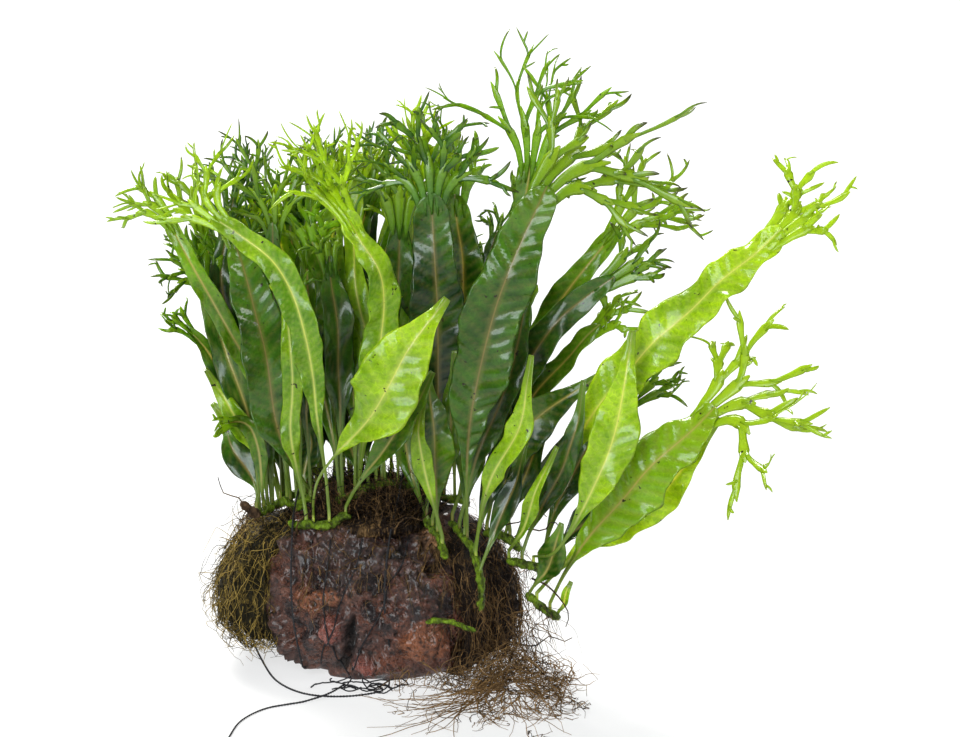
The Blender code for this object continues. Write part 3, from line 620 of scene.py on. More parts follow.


# Marks on the rock's front: spot as shares of its width and height, half width and half
# height in mm, tilt in degrees, depth in mm (below nought stands out) and what it looks like.
# A pit mark is a hollow with painted shade laid in it.
ROCK_MARKS = (
    ((0.06, 0.85), 2.6, 2.4, 0, 2.6, "pit"),
    ((0.24, 0.56), 6.6, 5.4, -20, -2.2, "rust"),
    ((0.25, 0.63), 1.1, 3.4, -38, 2.6, "pit"),
    ((0.33, 0.58), 5.0, 3.6, 10, -1.2, "rust"),
    ((0.34, 0.39), 4.6, 5.6, 8, -3.4, "pink"),
    ((0.41, 0.27), 2.4, 12.0, -6, 4.6, "pit"),
    ((0.47, 0.15), 4.8, 3.2, -28, -2.6, "pink"),
    ((0.38, 0.10), 3.0, 3.4, 0, 2.4, "pit"),
    ((0.52, 0.68), 7.0, 5.0, 15, 2.0, "wet"),
    ((0.50, 0.50), 3.0, 5.0, 30, 1.6, "wet"),
    ((0.60, 0.42), 6.0, 7.0, -30, -1.6, "plain"),
    ((0.82, 0.90), 9.5, 5.0, 4, -2.4, "tan"),
    ((0.79, 0.76), 4.6, 1.9, -8, 4.2, "pit"),
    ((0.88, 0.78), 2.2, 1.6, 20, 2.4, "pit"),
    ((0.74, 0.86), 1.6, 1.4, 0, 2.0, "pit"),
    ((0.74, 0.28), 11.0, 8.5, -10, -1.4, "rust"),
    ((0.14, 0.32), 6.0, 6.5, 35, 2.6, "plain"),
    ((0.10, 0.60), 4.2, 7.0, 0, -1.4, "plain"),
    ((0.16, 0.12), 5.0, 5.0, 0, 2.0, "plain"),
    ((0.62, 0.86), 6.0, 2.2, -5, 1.6, "pit"),
)
MARK_DEPTH = 1.25
# Where the foot of the block reaches out: which way, how far in mm and how widely.
ROCK_FEET = (((0.50, -0.62, -0.62), 6.5, 0.06), ((0.10, -0.72, -0.66), 3.5, 0.04))
# The ways that the rock's plain broken faces look, and how many more are left to chance.
BROKEN_FACES = ((0, -1, 0.12), (-0.45, -0.9, 0.1), (0.5, -0.85, -0.1), (0, 0, 1), (0.25, -0.3, 0.93),
                (-0.2, -0.95, -0.5), (0.3, -0.9, -0.45), (-0.97, -0.2, 0.2))
MORE_FACES = 22
# Round gas holes: how many of a kind, and their smallest and largest radius.
GAS_HOLES = ((16, 1.7, 2.8), (260, 0.8, 1.5), (2600, 0.4, 0.8))


def cut_flat(reach, ways):
    """The rock with flat faces broken off it, which leaves crisp edges between them."""
    chance = random.Random(8)
    grown = reach + 1.6
    faces = [*BROKEN_FACES, *([chance.gauss(0, 1) for _ in range(3)] for _ in range(MORE_FACES))]
    for way in faces:
        facing = ways @ unit(np.array(way, float))
        support = reach[facing > 0.99].mean()
        grown = np.minimum(grown, np.where(facing > 0.2, support / np.maximum(facing, 0.2), np.inf))
    return np.maximum(grown, reach - 3.0)


def rock_skin():
    """The rock's surface: the CAD block softened, with ridges, clefts and many gas holes."""
    solid = surface_of(*node_mesh("lava_rock"))
    ways = rock_directions()
    centre = Vector(ROCK_MIDDLE)
    flat = ways.reshape(-1, 3)
    hits = [solid.ray_cast(centre + Vector(d) * OUTSIDE, -Vector(d))[3] for d in flat]
    reach = OUTSIDE - np.array(hits).reshape(ways.shape[:2])
    reach = 0.35 * reach + 0.65 * blurred(reach, 14)
    reach = cut_flat(reach, ways)
    for way, out, spread in ROCK_FEET:
        reach = reach + out * np.exp((ways @ unit(np.array(way)) - 1) / spread)
    block = flat * reach.reshape(-1, 1)
    lumps = 1.6 * fractal(block, 0.075, 3) + 1.8 * (ridged(block, 0.10, 5.0) - 0.45)
    lumps += 1.0 * fractal(block, 0.30, 3, 9.0) + 0.8 * (ridged(block, 0.42, 2.0) - 0.4)
    lumps += 0.22 * fractal(block, 1.1, 2, 6.0)
    places = ROCK_MIDDLE + flat * (reach.ravel() + lumps)[:, None]
    sink, pit = gas_holes(places)
    marks, looks = front_marks(places)
    worn = 1 - 0.9 * looks["pink"]
    # Painted shade in the gas holes joins that of the pit marks; the worn pink knob keeps little of it.
    looks["pit"] = np.maximum(pit * worn, looks["pit"])
    share = ramp(0.5, 5.0, places[:, 2])
    places = places - flat * ((marks + sink * worn) * share)[:, None]
    calm = ROCK_MIDDLE + block
    return lifted(calm + (places - calm) * share[:, None], 0.0), looks


def front_marks(places):
    """How deep each place is sunk by the marks on the front, and how much it takes each look."""
    box_low, box_high = box_of("lava_rock")
    depth = np.zeros(len(places))
    looks = {look: np.zeros(len(places)) for look in ("pit", "pink", "rust", "tan", "wet", "plain")}
    ragged = 0.22 * fractal(places, 0.28, 3, 6.0)
    front = ramp(0.0, 0.5, -(places[:, 1] - ROCK_MIDDLE[1]) / abs(box_low[1]))
    for share, wide, high, tilt, deep, look in ROCK_MARKS:
        spot = box_low + (box_high - box_low) * (share[0], 0, share[1])
        turn = math.radians(tilt)
        dx, dz = places[:, 0] - spot[0], places[:, 2] - spot[2]
        along = dx * math.cos(turn) + dz * math.sin(turn)
        up = dz * math.cos(turn) - dx * math.sin(turn)
        away = np.hypot(along / wide, up / high) + ragged
        inside = (1 - ramp(0.55, 1.05, away)) * front
        depth += MARK_DEPTH * deep * inside
        looks[look] = np.maximum(looks[look], inside)
    # Pits get painted shade, darkest in their middles.
    looks["pit"] = 0.9 * looks["pit"] ** 1.5
    looks.pop("plain")
    return depth, looks


def gas_holes(places):
    """How deep each place is sunk by round holes, and how dark painted shade makes the inside of them."""
    chance = random.Random(31)
    tree = place_finder(places)
    sink = np.zeros(len(places))
    pit = np.zeros(len(places))
    for count, low, high in GAS_HOLES:
        for _ in range(count):
            centre = places[chance.randrange(len(places))]
            size = chance.uniform(low, high)
            deep = size * chance.uniform(0.7, 1.3)
            for _, i, away in tree.find_range(Vector(centre), size * 1.25):
                inside = 1 - ramp(0.55, 1.2, away / size)
                sink[i] = max(sink[i], deep * inside)
                # Painted shade inside the hole, darkest at its middle.
                pit[i] = max(pit[i], inside * 0.9)
    return sink, pit


def make_rock(material):
    """The rock's mesh, closed at its top and bottom; gives a tree that finds its surface."""
    places, values = rock_skin()
    rows = ROCK_ROWS - 1
    index = np.arange(rows * ROCK_TURNS).reshape(rows, ROCK_TURNS)
    a, c = index[:-1], index[1:]
    b, d = np.roll(a, -1, axis=1), np.roll(c, -1, axis=1)
    faces = np.stack([a, c, d, b], -1).reshape(-1, 4).tolist()
    last = len(places)
    faces += [[last, int(i), int(j)] for i, j in zip(index[0], np.roll(index[0], -1))]
    faces += [[last + 1, int(j), int(i)] for i, j in zip(index[-1], np.roll(index[-1], -1))]
    values = {key: np.append(numbers, (0.0, 0.0)) for key, numbers in values.items()}
    points = np.vstack([places, places[index[0]].mean(0), places[index[-1]].mean(0)])
    make_piece("lava_rock_skin", points, faces, material, "lava_rock", ["lava_rock"], values)
    return surface_of(points, faces)


# ---- the fronds

# Half the width of a midrib at its foot, and half the thickness of the blade beside it.
RIB = 0.46
LAMINA = 0.16
# How far each stalk is carried down into the stem that it grows from.
STALK_LOW = 2.6
# Places across a blade: those on its midrib, and those from there to its margin.
RIB_SHARES = np.array((-1.0, -0.55, 0.0, 0.55, 1.0))
OUTER_SHARES = np.array((0.16, 0.36, 0.56, 0.76, 0.91, 1.0))
# How far a margin swells in and out, as shares of the half width, in long and short waves.
LONG_SWELL = 0.085
SHORT_SWELL = 0.028
SHORT_WAVE = 9.7
# A crested blade narrows to a rounded end over this length.
END_TAPER = 8.3
# The frame's blades have this many rings, and their crests begin a row further on.
RINGS = 9
LEAF_VALUES = ("vein", "margin", "stalk", "tone", "tip")
# How each frond differs: row spacing, quilting, margin wave, fold and the length of one wave.
PLAIN_STYLE = (1.7, 0.26, 0.9, 0.12, 21.0)
STYLES = {
    "mid_blue": (1.0, 0.85, 1.2, 0.05, 26.0),
    "mid_tall": (1.0, 0.42, 1.0, 0.10, 30.0),
    "front_pale": (0.9, 0.60, 1.6, 0.10, 24.0),
    "low_quilted": (0.9, 0.80, 1.2, -0.05, 20.0),
    "right_long": (1.0, 0.50, 1.6, 0.06, 23.0),
    "right_bright": (1.0, 0.42, 1.3, 0.10, 22.0),
    "left_glossy": (1.0, 0.55, 1.0, 0.05, 20.0),
    "left_lime": (1.1, 0.25, 1.2, 0.18, 18.0),
    "mid_broad": (1.2, 0.30, 1.0, 0.15, 22.0),
    "mid_bright": (1.2, 0.25, 1.1, 0.15, 18.0),
    "low_yellow": (1.1, 0.40, 1.5, 0.08, 17.0),
    "right_sweep": (1.2, 0.25, 1.0, 0.12, 22.0),
    "front_small": (1.1, 0.30, 1.2, 0.20, 14.0),
}
# How slender a blade starts above its stalk, and over what share of its length it widens.
PLAIN_WAIST = (0.74, 0.20)
WAISTS = {"front_pale": (0.42, 0.30), "left_lime": (0.6, 0.3), "mid_blue": (0.6, 0.35)}
# How fresh or old each frond looks, from dull (0) to bright (about 1); the rest are drawn.
FRESHNESS = {"right_long": 0.75, "front_pale": 0.65, "right_bright": 0.6, "left_lime": 0.2,
             "mid_tall": 0.10, "mid_blue": 0.55, "low_quilted": 1.1, "low_yellow": 0.9,
             "right_young": 0.6, "left_outer": 0.7, "left_yellow": 0.7}
# How brown the tips of each crest are.
PLAIN_TIPS = 0.15
DARK_TIPS = {"mid_blue": 0.9, "mid_tall": 0.8, "left_laced": 0.8, "right_spotted": 0.9, "right_lace": 0.7,
             "mid_crown": 0.5, "right_olive": 0.6, "low_dark": 0.6, "left_tuft": 0.6, "left_deep": 0.6,
             "mid_deep": 0.6, "rear_right": 0.6, "rear_far_right": 0.7}


class Leaf:
    """The midrib, widths and lobes of one frond, in rows from its base to its crest."""

    def __init__(self, middle, across, half, lobes):
        self.middle = np.array(middle, float)
        self.across = unit(np.array(across, float))
        self.half = np.array(half, float)
        self.lobes = lobes


def longest_way(corners):
    """The direction in which four corners are spread most, and how much more than the rest."""
    spread = corners - corners.mean(0)
    _, sizes, ways = np.linalg.svd(spread)
    return ways[0], sizes[0] / max(sizes[1], 1e-6)


def read_leaf(name):
    """One frond as the frame has it: its rings are found by walking up from its base."""
    points, faces = node_mesh(name)
    near = neighbours(len(points), faces)
    lowest = points[points[:, 2].argmin()]
    base = np.argsort(np.linalg.norm(points - lowest, axis=1))[:4]
    rows = rows_from(base, near)
    middle = [points[row].mean(0) for row in rows[:RINGS]]
    across = [None] * RINGS
    later = None
    for i in reversed(range(RINGS)):
        way, ratio = longest_way(points[rows[i]])
        if ratio > 1.6 or later is None:
            later = way if later is None or way @ later > 0 else -way
        across[i] = later
    half = [np.abs((points[row] - points[row].mean(0)) @ way).mean() for row, way in zip(rows, across)]
    end = points[rows[RINGS]]
    reach = end @ across[-1]
    first, last = end[reach < reach.min() + 0.35], end[reach > reach.max() - 0.35]
    middle.append((first.mean(0) + last.mean(0)) / 2)
    half.append(np.linalg.norm(last.mean(0) - first.mean(0)) / 2)
    across.append(across[-1])
    if across[5][0] < 0:
        across = [-way for way in across]
    lobes = read_lobes(points, near, rows[RINGS:]) if len(rows) > RINGS + 1 else []
    return Leaf(middle, across, half, lobes)


def read_lobes(points, near, rows):
    """Where each lobe of a crest starts, its middle and its tip; the first row is the blade's."""
    beyond = {i for row in rows[1:] for i in row}
    lobes = []
    while beyond:
        group = {min(beyond)}
        edge = set(group)
        while edge:
            edge = {j for i in edge for j in near[i] if j in beyond} - group
            group |= edge
        beyond -= group
        waist = [i for i in group if i in set(rows[1])]
        tip = [i for i in group if i not in set(rows[1])]
        root = sorted({j for i in waist for j in near[i] if j in set(rows[0])})
        lobes.append(tuple(points[some].mean(0) for some in (root, waist, tip)))
    return lobes


def blade_lines(leaf, spacing):
    """Smooth lines up one frond, a place every so many millimetres."""
    fine = np.linspace(0, RINGS, 200)
    run = run_of(smooth(leaf.middle, fine))
    rows = max(22, round(run[-1] / spacing))
    wanted = np.interp(np.linspace(0, run[-1], rows), run, fine)
    middle = smooth(leaf.middle, wanted)
    low = np.linspace(STALK_LOW, 0, 3)[:-1, None] * -UP
    middle = np.vstack([middle[0] + low, middle])
    wanted = np.concatenate([[0.0, 0.0], wanted])
    half = np.maximum(smooth(leaf.half[:, None], wanted)[:, 0], 0.0)
    across = smooth(leaf.across, wanted)
    along = unit(np.gradient(middle, axis=0))
    across = unit(across - along * dot(across, along))
    return middle, along, across, np.cross(across, along), half, run_of(middle)


def make_blade(batch, leaf, style, chance, tone, name=""):
    """One blade with its stalk: a closed, thin, veined and quilted leaf with wavy margins."""
    spacing, quilt, wave, fold, wave_length = style
    middle, along, across, face, half, run = blade_lines(leaf, spacing)
    widest = half.max()
    body = ramp(1.0, min(3.4, 0.75 * widest), half)
    share = run / run[-1]
    rib = RIB * (1.0 - 0.5 * share)
    if leaf.lobes:
        rib = rib * (1 - 0.3 * ramp(0.8, 1.0, share))
        half = half * np.sqrt(1 - np.clip((run - run[-1] + 8.0) / END_TAPER, 0, 1) ** 2)
    start = share[np.argmax(body > 0.5)]
    low, rise = WAISTS.get(name, PLAIN_WAIST)
    slender = low + (1 - low) * ramp(start, start + rise, share)
    half = np.maximum(half * slender, rib + 0.10)
    sides = []
    for _ in range(2):
        wobble = chance.uniform(0, math.tau)
        swell = 1 + body * (LONG_SWELL * np.sin(math.tau * run / (1.3 * wave_length) + wobble)
                            + SHORT_SWELL * np.sin(math.tau * run / SHORT_WAVE + 2 * wobble))
        sides.append(rib[:, None] + (half * swell - rib)[:, None] * OUTER_SHARES)
    x = np.hstack([-sides[0][:, ::-1], rib[:, None] * RIB_SHARES, sides[1]])
    limit = np.where(x < 0, sides[0][:, -1:], sides[1][:, -1:])
    v = x / limit
    lift = blade_relief(x, v, run, body, limit, quilt, wave, wave_length, chance, widest)
    lift += fold * np.abs(x) * body[:, None]
    stem = rib[:, None] * np.sqrt(np.clip(1 - (x / (rib[:, None] * 1.04)) ** 2, 0, 1))
    lamina = LAMINA * (1 - 0.45 * np.abs(v) ** 6)
    upper = np.maximum(lamina, stem * (1 - 0.55 * body[:, None]))
    lower = np.maximum(lamina, stem * (1 - 0.15 * body[:, None]))
    upper[:, (0, -1)] = 0.0
    line = middle[:, None] + across[:, None] * x[..., None]
    top = line + face[:, None] * (lift + upper)[..., None]
    bottom = line + face[:, None] * (lift - lower)[..., None]
    rings = np.concatenate([top, bottom[:, -2:0:-1]], axis=1)
    rows, around, _ = rings.shape
    faces = ring_faces(np.arange(rows * around).reshape(1, rows, around))
    tones = tone + 0.22 * (1 - body) + 0.45 * ramp(0.70, 1.0, share)
    batch.add(rings.reshape(-1, 3), faces, vein=both_sides(vein_mask(x, run, rib, widest, body)),
              margin=both_sides(np.abs(v) ** 5 * body[:, None]), tone=np.repeat(tones, around),
              stalk=np.repeat(0.8 * (1 - body) * ramp(0.0, 0.04, share), around))
    return along[-1], face[-1]


def both_sides(grid):
    """Values across the top of a blade, and back again underneath it."""
    return np.concatenate([grid, grid[:, -2:0:-1]], axis=1).ravel()


def vein_phase(x, run, widest):
    """How many side veins lie below each place; they slant and alternate on the two sides."""
    pitch = np.clip(0.52 * widest, 2.8, 5.4)
    return (run[:, None] - 0.75 * np.abs(x)) / pitch + 0.5 * (x < 0)


def blade_relief(x, v, run, body, limit, quilt, wave, wave_length, chance, widest):
    """How far each place of the blade stands above its flat sheet."""
    part = np.mod(vein_phase(x, run, widest), 1.0)
    puff = np.sin(math.pi * part) ** 0.7 - 0.5
    room = ramp(0.06, 0.30, np.abs(v)) * (1 - 0.75 * ramp(0.75, 1.0, np.abs(v)))
    lift = 1.9 * quilt * puff * room * body[:, None]
    for sign in (-1, 1):
        start = chance.uniform(0, math.tau)
        drift = chance.uniform(0.75, 1.3)
        ripple = (np.sin(math.tau * run / wave_length * drift + start)
                  + 0.30 * np.sin(math.tau * run / wave_length * 1.9 + 2.7 * start))
        on_side = (x * sign > 0) * np.abs(v) ** 2.2
        lift = lift + 1.25 * wave * ripple[:, None] * on_side * body[:, None]
    cup = chance.uniform(-0.10, 0.16)
    sway = 0.9 * np.sin(math.tau * run / chance.uniform(26, 40) + chance.uniform(0, 6))
    twist = 0.20 * np.sin(math.tau * run / chance.uniform(34, 60) + chance.uniform(0, 6))
    lift = lift + (sway[:, None] + x * twist[:, None]) * body[:, None]
    return lift + cup * v**2 * limit * body[:, None]


def vein_mask(x, run, rib, widest, body):
    """How pale each place of the blade is: the midrib, and fainter side veins."""
    part = np.mod(vein_phase(x, run, widest) + 0.5, 1.0) - 0.5
    side = 0.24 * np.exp(-(part * 4.0 / 0.70) ** 2) * ramp(0.0, 1.2, np.abs(x) - rib[:, None]) * body[:, None]
    stem = 1 - ramp(0.75, 1.25, np.abs(x) / rib[:, None])
    return np.maximum(side, 0.9 * stem)


# Shares of the strands that stop short at a fork, and that carry a spur.
MISSING_STRANDS = 0.12
SPURRED_STRANDS = 0.5
THINNEST_STRAND = 0.52


class Crest:
    """Strands of a crest, all with the same number of places, gathered before they are made."""

    def __init__(self, chance, dark, tone, places=8, sides=6):
        self.places = places
        self.sides = sides
        self.chance = chance
        self.dark = dark
        self.tone = tone
        self.paths = []
        self.normals = []
        self.wide = []
        self.tips = []

    def keep(self, path, normals, wide_from, wide, last):
        """Keeps a strand: the last ones taper to a brown tip, the others widen to a web."""
        share = np.linspace(0, 1, self.places)
        opening = wide_from + (wide - wide_from) * ramp(0.0, 0.38, share)
        if last:
            size = opening * (1 - 0.30 * share) * np.sqrt(1 - np.clip((share - 0.55) / 0.47, 0, 1) ** 2)
            size[-1] = 0.16 * wide
            tip = self.dark * ramp(0.45, 0.95, share)
        else:
            web = 1 + 0.40 * ramp(0.40, 0.70, share) - 0.60 * ramp(0.72, 0.90, share)
            size = opening * (1 - 0.10 * np.sin(math.pi * share)) * np.where(share > 0.9, 0.2, web)
            tip = np.zeros(self.places)
        self.paths.append(path)
        self.normals.append(normals)
        self.wide.append(size)
        self.tips.append(tip)

    def strand(self, spot, ahead, face, length, wide_from, wide, turn, last):
        """Adds one strand that first turns aside; gives its places, headings and facings."""
        steps = self.places - 1
        yaw = self.chance.uniform(-0.4, 0.4) * (2.2 if last else 1.0)
        pitch = self.chance.uniform(-0.7, 0.7) * (1.6 if last else 1.0) / steps
        share = np.linspace(0, 1, self.places)
        angle = turn * ramp(0.0, 0.45, share) * (1 - 0.35 * share) + yaw * share
        path, headings, normals = [spot.copy()], [ahead.copy()], [face.copy()]
        for k in range(steps):
            ahead = Matrix.Rotation(float(angle[k + 1] - angle[k]), 3, face) @ ahead
            ahead = (ahead + face * pitch).normalized()
            face = (face - ahead * face.dot(ahead)).normalized()
            spot = spot + ahead * (length / steps)
            path.append(spot.copy())
            headings.append(ahead.copy())
            normals.append(face.copy())
        self.keep(path, normals, wide_from, wide, last)
        return path, headings, normals

    def fork(self, path, headings, normals, length, wide, level):
        """One or two strands that part from the end of another, at first side by side within it."""
        chance = self.chance
        spot, ahead, face = path[-3], headings[-3], normals[-3]
        side = ahead.cross(face)
        lean = chance.uniform(-0.16, 0.16)
        for sign in (-1, 1):
            if level < 2 and chance.random() < MISSING_STRANDS:
                continue
            lower = level - 1 if chance.random() < 0.8 else max(0, level - 2)
            size = max(THINNEST_STRAND, wide * chance.uniform(0.68, 0.88))
            again = length * chance.uniform(0.60, 0.95)
            if lower == 0:
                again = min(again, chance.uniform(4.0, 9.0))
            turn = -sign * chance.uniform(0.30, 0.78) + lean
            tilted = Matrix.Rotation(chance.uniform(-0.6, 0.6), 3, ahead) @ face
            start = spot + side * (sign * 0.45 * wide)
            self.grow(start, ahead, tilted, again + 0.25 * length, 0.5 * wide, size, turn, lower)

    def grow(self, spot, ahead, face, length, wide_from, wide, turn, level):
        """A strand, and the forks beyond it for as many levels as are left."""
        made = self.strand(spot, ahead, face, length, wide_from, wide, turn, level == 0)
        self.sprout(made, wide)
        if level:
            self.fork(*made, length, wide, level)

    def sprout(self, made, wide):
        """Sometimes a short spur on one edge."""
        chance = self.chance
        if chance.random() > SPURRED_STRANDS:
            return
        path, headings, normals = made
        k = chance.randrange(3, self.places - 2)
        turn = chance.choice((-1, 1)) * chance.uniform(0.7, 1.2)
        self.strand(path[k], headings[k], normals[k], chance.uniform(3.0, 6.0), 0.6 * wide,
                    max(0.5, 0.6 * wide), turn, True)

    def add_to(self, batch):
        paths = np.array(self.paths)
        wide = np.array(self.wide)
        thick = np.minimum(wide * 0.8, 0.18 + 0.06 * wide)
        points, faces = sweep(paths, np.array(self.normals), wide, thick, self.sides)
        tips = np.repeat(np.array(self.tips).ravel(), self.sides)
        bright = np.tile(np.repeat(np.linspace(0.45, 1.25, self.places), self.sides), len(paths))
        batch.add(points, faces, tip=tips, tone=self.tone + bright)


def add_crest(batch, leaf, ahead, face, chance, dark, tone, places=8, sides=6):
    """Forks each lobe again and again from where the blade ends to its tip."""
    if not leaf.lobes:
        return
    crest = Crest(chance, dark, tone, places, sides)
    ahead, face = Vector(ahead), Vector(face)
    count = len(leaf.lobes)
    for root, waist, tip in leaf.lobes:
        root, waist, tip = Vector(root), Vector(waist), Vector(tip)
        reach = (waist - root).length + (tip - waist).length
        wide = min(1.9, max(1.0, 1.5 * leaf.half[-1] / count), 0.07 * reach + 0.5)
        level = 3 if reach > 26 else 2 if reach > 13 else 1
        first = reach * (0.50, 0.42, 0.36)[level - 1]
        begin = root - ahead * min(10.0, 0.6 * reach)
        bend = root + ahead * 0.30 * first
        finish = root + (waist - root).normalized() * first
        path = [begin.lerp(bend, t).lerp(bend.lerp(finish, t), t) for t in np.linspace(0, 1, crest.places)]
        steps = [b - a for a, b in zip(path, path[1:])]
        headings = [step.normalized() for step in steps + steps[-1:]]
        normals = [(face - way * face.dot(way)).normalized() for way in headings]
        crest.keep(path, normals, 0.3, wide, False)
        crest.sprout((path, headings, normals), wide)
        crest.fork(path, headings, normals, first, wide, level)
    crest.add_to(batch)


def make_fronds(materials):
    """One piece for each frond of the frame; gives the leaves that were read."""
    slots = {part["node"]: part["material_slot"] for part in frame["record"]["subparts"]}
    leaves = []
    for number, name in enumerate(nodes_named("frond_")):
        short = name[len("frond_"):]
        chance = random.Random(1000 + number)
        leaf = read_leaf(name)
        leaves.append(leaf)
        batch = Batch(*LEAF_VALUES)
        tone = FRESHNESS.get(short, chance.uniform(0.1, 0.6))
        style = STYLES.get(short, PLAIN_STYLE)
        ahead, face = make_blade(batch, leaf, style, chance, tone, short)
        add_crest(batch, leaf, ahead, face, chance, DARK_TIPS.get(short, PLAIN_TIPS), tone)
        batch.piece("leaf_" + short, materials[slots[name]], slots[name], [name])
    return leaves


# ---- fronds too small or too many for solids of their own

FACING = np.array((0.0, -0.8, 0.6))
ABOVE_STEM = 1.4 * UP
SMALL_STYLE = (3.4, 0.20, 1.0, 0.15, 23.0)
# The crest of a frond that has none.
BARE = (0, 0, 0, 0)
# Rhizome, share of its length, half width, roll, bends, crest (lobes, length, fan, lean), slot.
EXTRA_FRONDS = (
    ("low_right", 0.10, 5.6, 20, ((61, -24, 40), (64, -26, 49), (66, -27, 58)), BARE, "mid"),
    ("low_right", 0.95, 1.6, 10, ((67, -17, 24), (68, -18, 29), (70, -18, 34)), BARE, "lime"),
    ("left", 0.08, 3.2, -15, ((-44, 1, 85), (-56, 3, 108), (-66, 2, 122)), (3, 15, 80, -20), "mid"),
    ("far_right", 0.80, 5.2, 10, ((66, -12, 45), (82, -8, 58), (98, -6, 68)), BARE, "dark"),
    ("back", 0.60, 6.0, 30, ((12, 18, 95), (14, 10, 140), (16, 6, 178)), (3, 26, 60, 5), "lime"),
    ("branch", 0.50, 5.5, 10, ((50, -8, 60), (56, -10, 76), (62, -12, 92)), BARE, "mid"),
    ("branch", 0.80, 4.5, -15, ((56, -4, 58), (66, -2, 74), (74, 0, 92)), BARE, "dark"),
    ("right", 0.50, 4.5, 10, ((40, -14, 62), (46, -10, 80), (48, -8, 98)), BARE, "dark"),
    ("right", 0.30, 5.0, -20, ((33, -8, 64), (36, -4, 84), (40, 0, 104)), BARE, "mid"),
    ("right", 0.70, 4.0, 25, ((44, -24, 56), (50, -24, 72), (54, -20, 86)), BARE, "dark"),
    ("centre", 0.20, 4.5, -10, ((14, 0, 66), (10, 6, 86), (8, 8, 104)), BARE, "mid"),
)
CRESTED_COUNT = 34
BARE_COUNT = 25
# No random frond stands further forward than this.
FRONT_KEPT_CLEAR = -8
SMALL_RHIZOMES = ("rhizome_back", "rhizome_branch", "rhizome_left", "rhizome_middle")
# The small fronds are joined by colour: the slot of each piece.
SMALL_PIECES = {"lime": "lime", "green": "mid", "dark": "dark"}
SMALL_ORDER = ("dark", "mid", "dark", "mid", "lime")


def half_widths(widest, stalk, crested):
    """A frond's half widths from its foot up: a stalk, a blade that widens, and its end."""
    share = np.linspace(0, 1, RINGS + 1)
    u = np.clip((share - stalk) / (1 - stalk), 0, 1)
    end = 0.5 if crested else 0.04
    taper = ramp(0.62, 1.0, u) if crested else ramp(0.45, 1.0, u)
    shape = ramp(-0.08, 0.32, u) * (1 - (1 - end) * taper) * (u > 0)
    return 0.8 + (widest - 0.8) * shape


def planned_leaf(base, bends, widest, roll, crest, stalk, chance):
    """A frond that bends through these places, with a fan of lobes at its end."""
    path = np.array([base - (0, 0, 6), base, *bends], float)
    fine = through(path, 80)
    start = int(np.linalg.norm(fine - base, axis=1).argmin())
    middle = through(fine[start::3], RINGS + 1)
    along = unit(np.gradient(middle, axis=0))
    flat = unit(np.cross(along, FACING))
    face = np.cross(flat, along)
    turn = math.radians(roll) * np.linspace(0, 1, RINGS + 1)[:, None]
    across = flat * np.cos(turn) + face * np.sin(turn)
    half = half_widths(widest, stalk, crest[0] > 0)
    count, length, fan, lean = crest
    lobes = []
    for j in range(count):
        t = 2 * (j + 0.5) / count - 1
        angle = math.radians(lean + fan * (j / max(1, count - 1) - 0.5))
        ahead = along[-1] * math.cos(angle) + across[-1] * math.sin(angle)
        root = middle[-1] + across[-1] * (t * half[-1])
        reach = length * chance.uniform(0.8, 1.1)
        lobes.append((root, root + ahead * 0.5 * reach, root + ahead * reach))
    return Leaf(middle, across, half, lobes)


def random_bends(base, chance, short):
    """Three places that a random frond bends through, which lean outwards and back."""
    high = chance.uniform(26, 56) if short else chance.uniform(58, 112)
    out = (base[0] - 6) * chance.uniform(0.05, 0.42) + chance.gauss(0, 6)
    back = (base[1] + 2) * chance.uniform(0.1, 0.7) + chance.uniform(0, 18)
    shares = ((0.36, 0.15), (0.70, 0.52), (1.0, 1.0))
    bends = [base + np.array((out * f, back * f, high * g)) for g, f in shares]
    bends[1] = bends[1] + np.array((chance.gauss(0, 4), chance.gauss(0, 3), 0))
    return bends


def room_for(leaf, taken):
    """How far a frond keeps from those already there, over its upper part."""
    points = smooth(leaf.middle, np.linspace(3, RINGS, 9))
    gaps = [min(13.0, taken.find(Vector(p))[2]) for p in points]
    return sum(gaps) / len(gaps) + 0.5 * min(gaps)


def roomiest(lines, standing, short, chance):
    """The one of several random fronds that stands clearest of those already there."""
    places = [p for leaf in standing for p in smooth(leaf.middle, np.linspace(2, RINGS, 30))]
    taken = place_finder(places + [p for leaf in standing for lobe in leaf.lobes for p in lobe])
    found = []
    for _ in range(16):
        line = lines[SMALL_RHIZOMES[chance.randrange(len(SMALL_RHIZOMES))]]
        base = line[chance.randrange(len(line))] + ABOVE_STEM
        if base[1] < FRONT_KEPT_CLEAR:
            continue
        crest = (3, chance.uniform(14, 24), chance.uniform(50, 90), chance.uniform(-20, 20))
        found.append(planned_leaf(base, random_bends(base, chance, short), chance.uniform(3.0, 6.5),
                                  chance.uniform(-45, 45), BARE if short else crest,
                                  chance.uniform(0.15, 0.3), chance))
    return max(found, key=lambda leaf: room_for(leaf, taken))


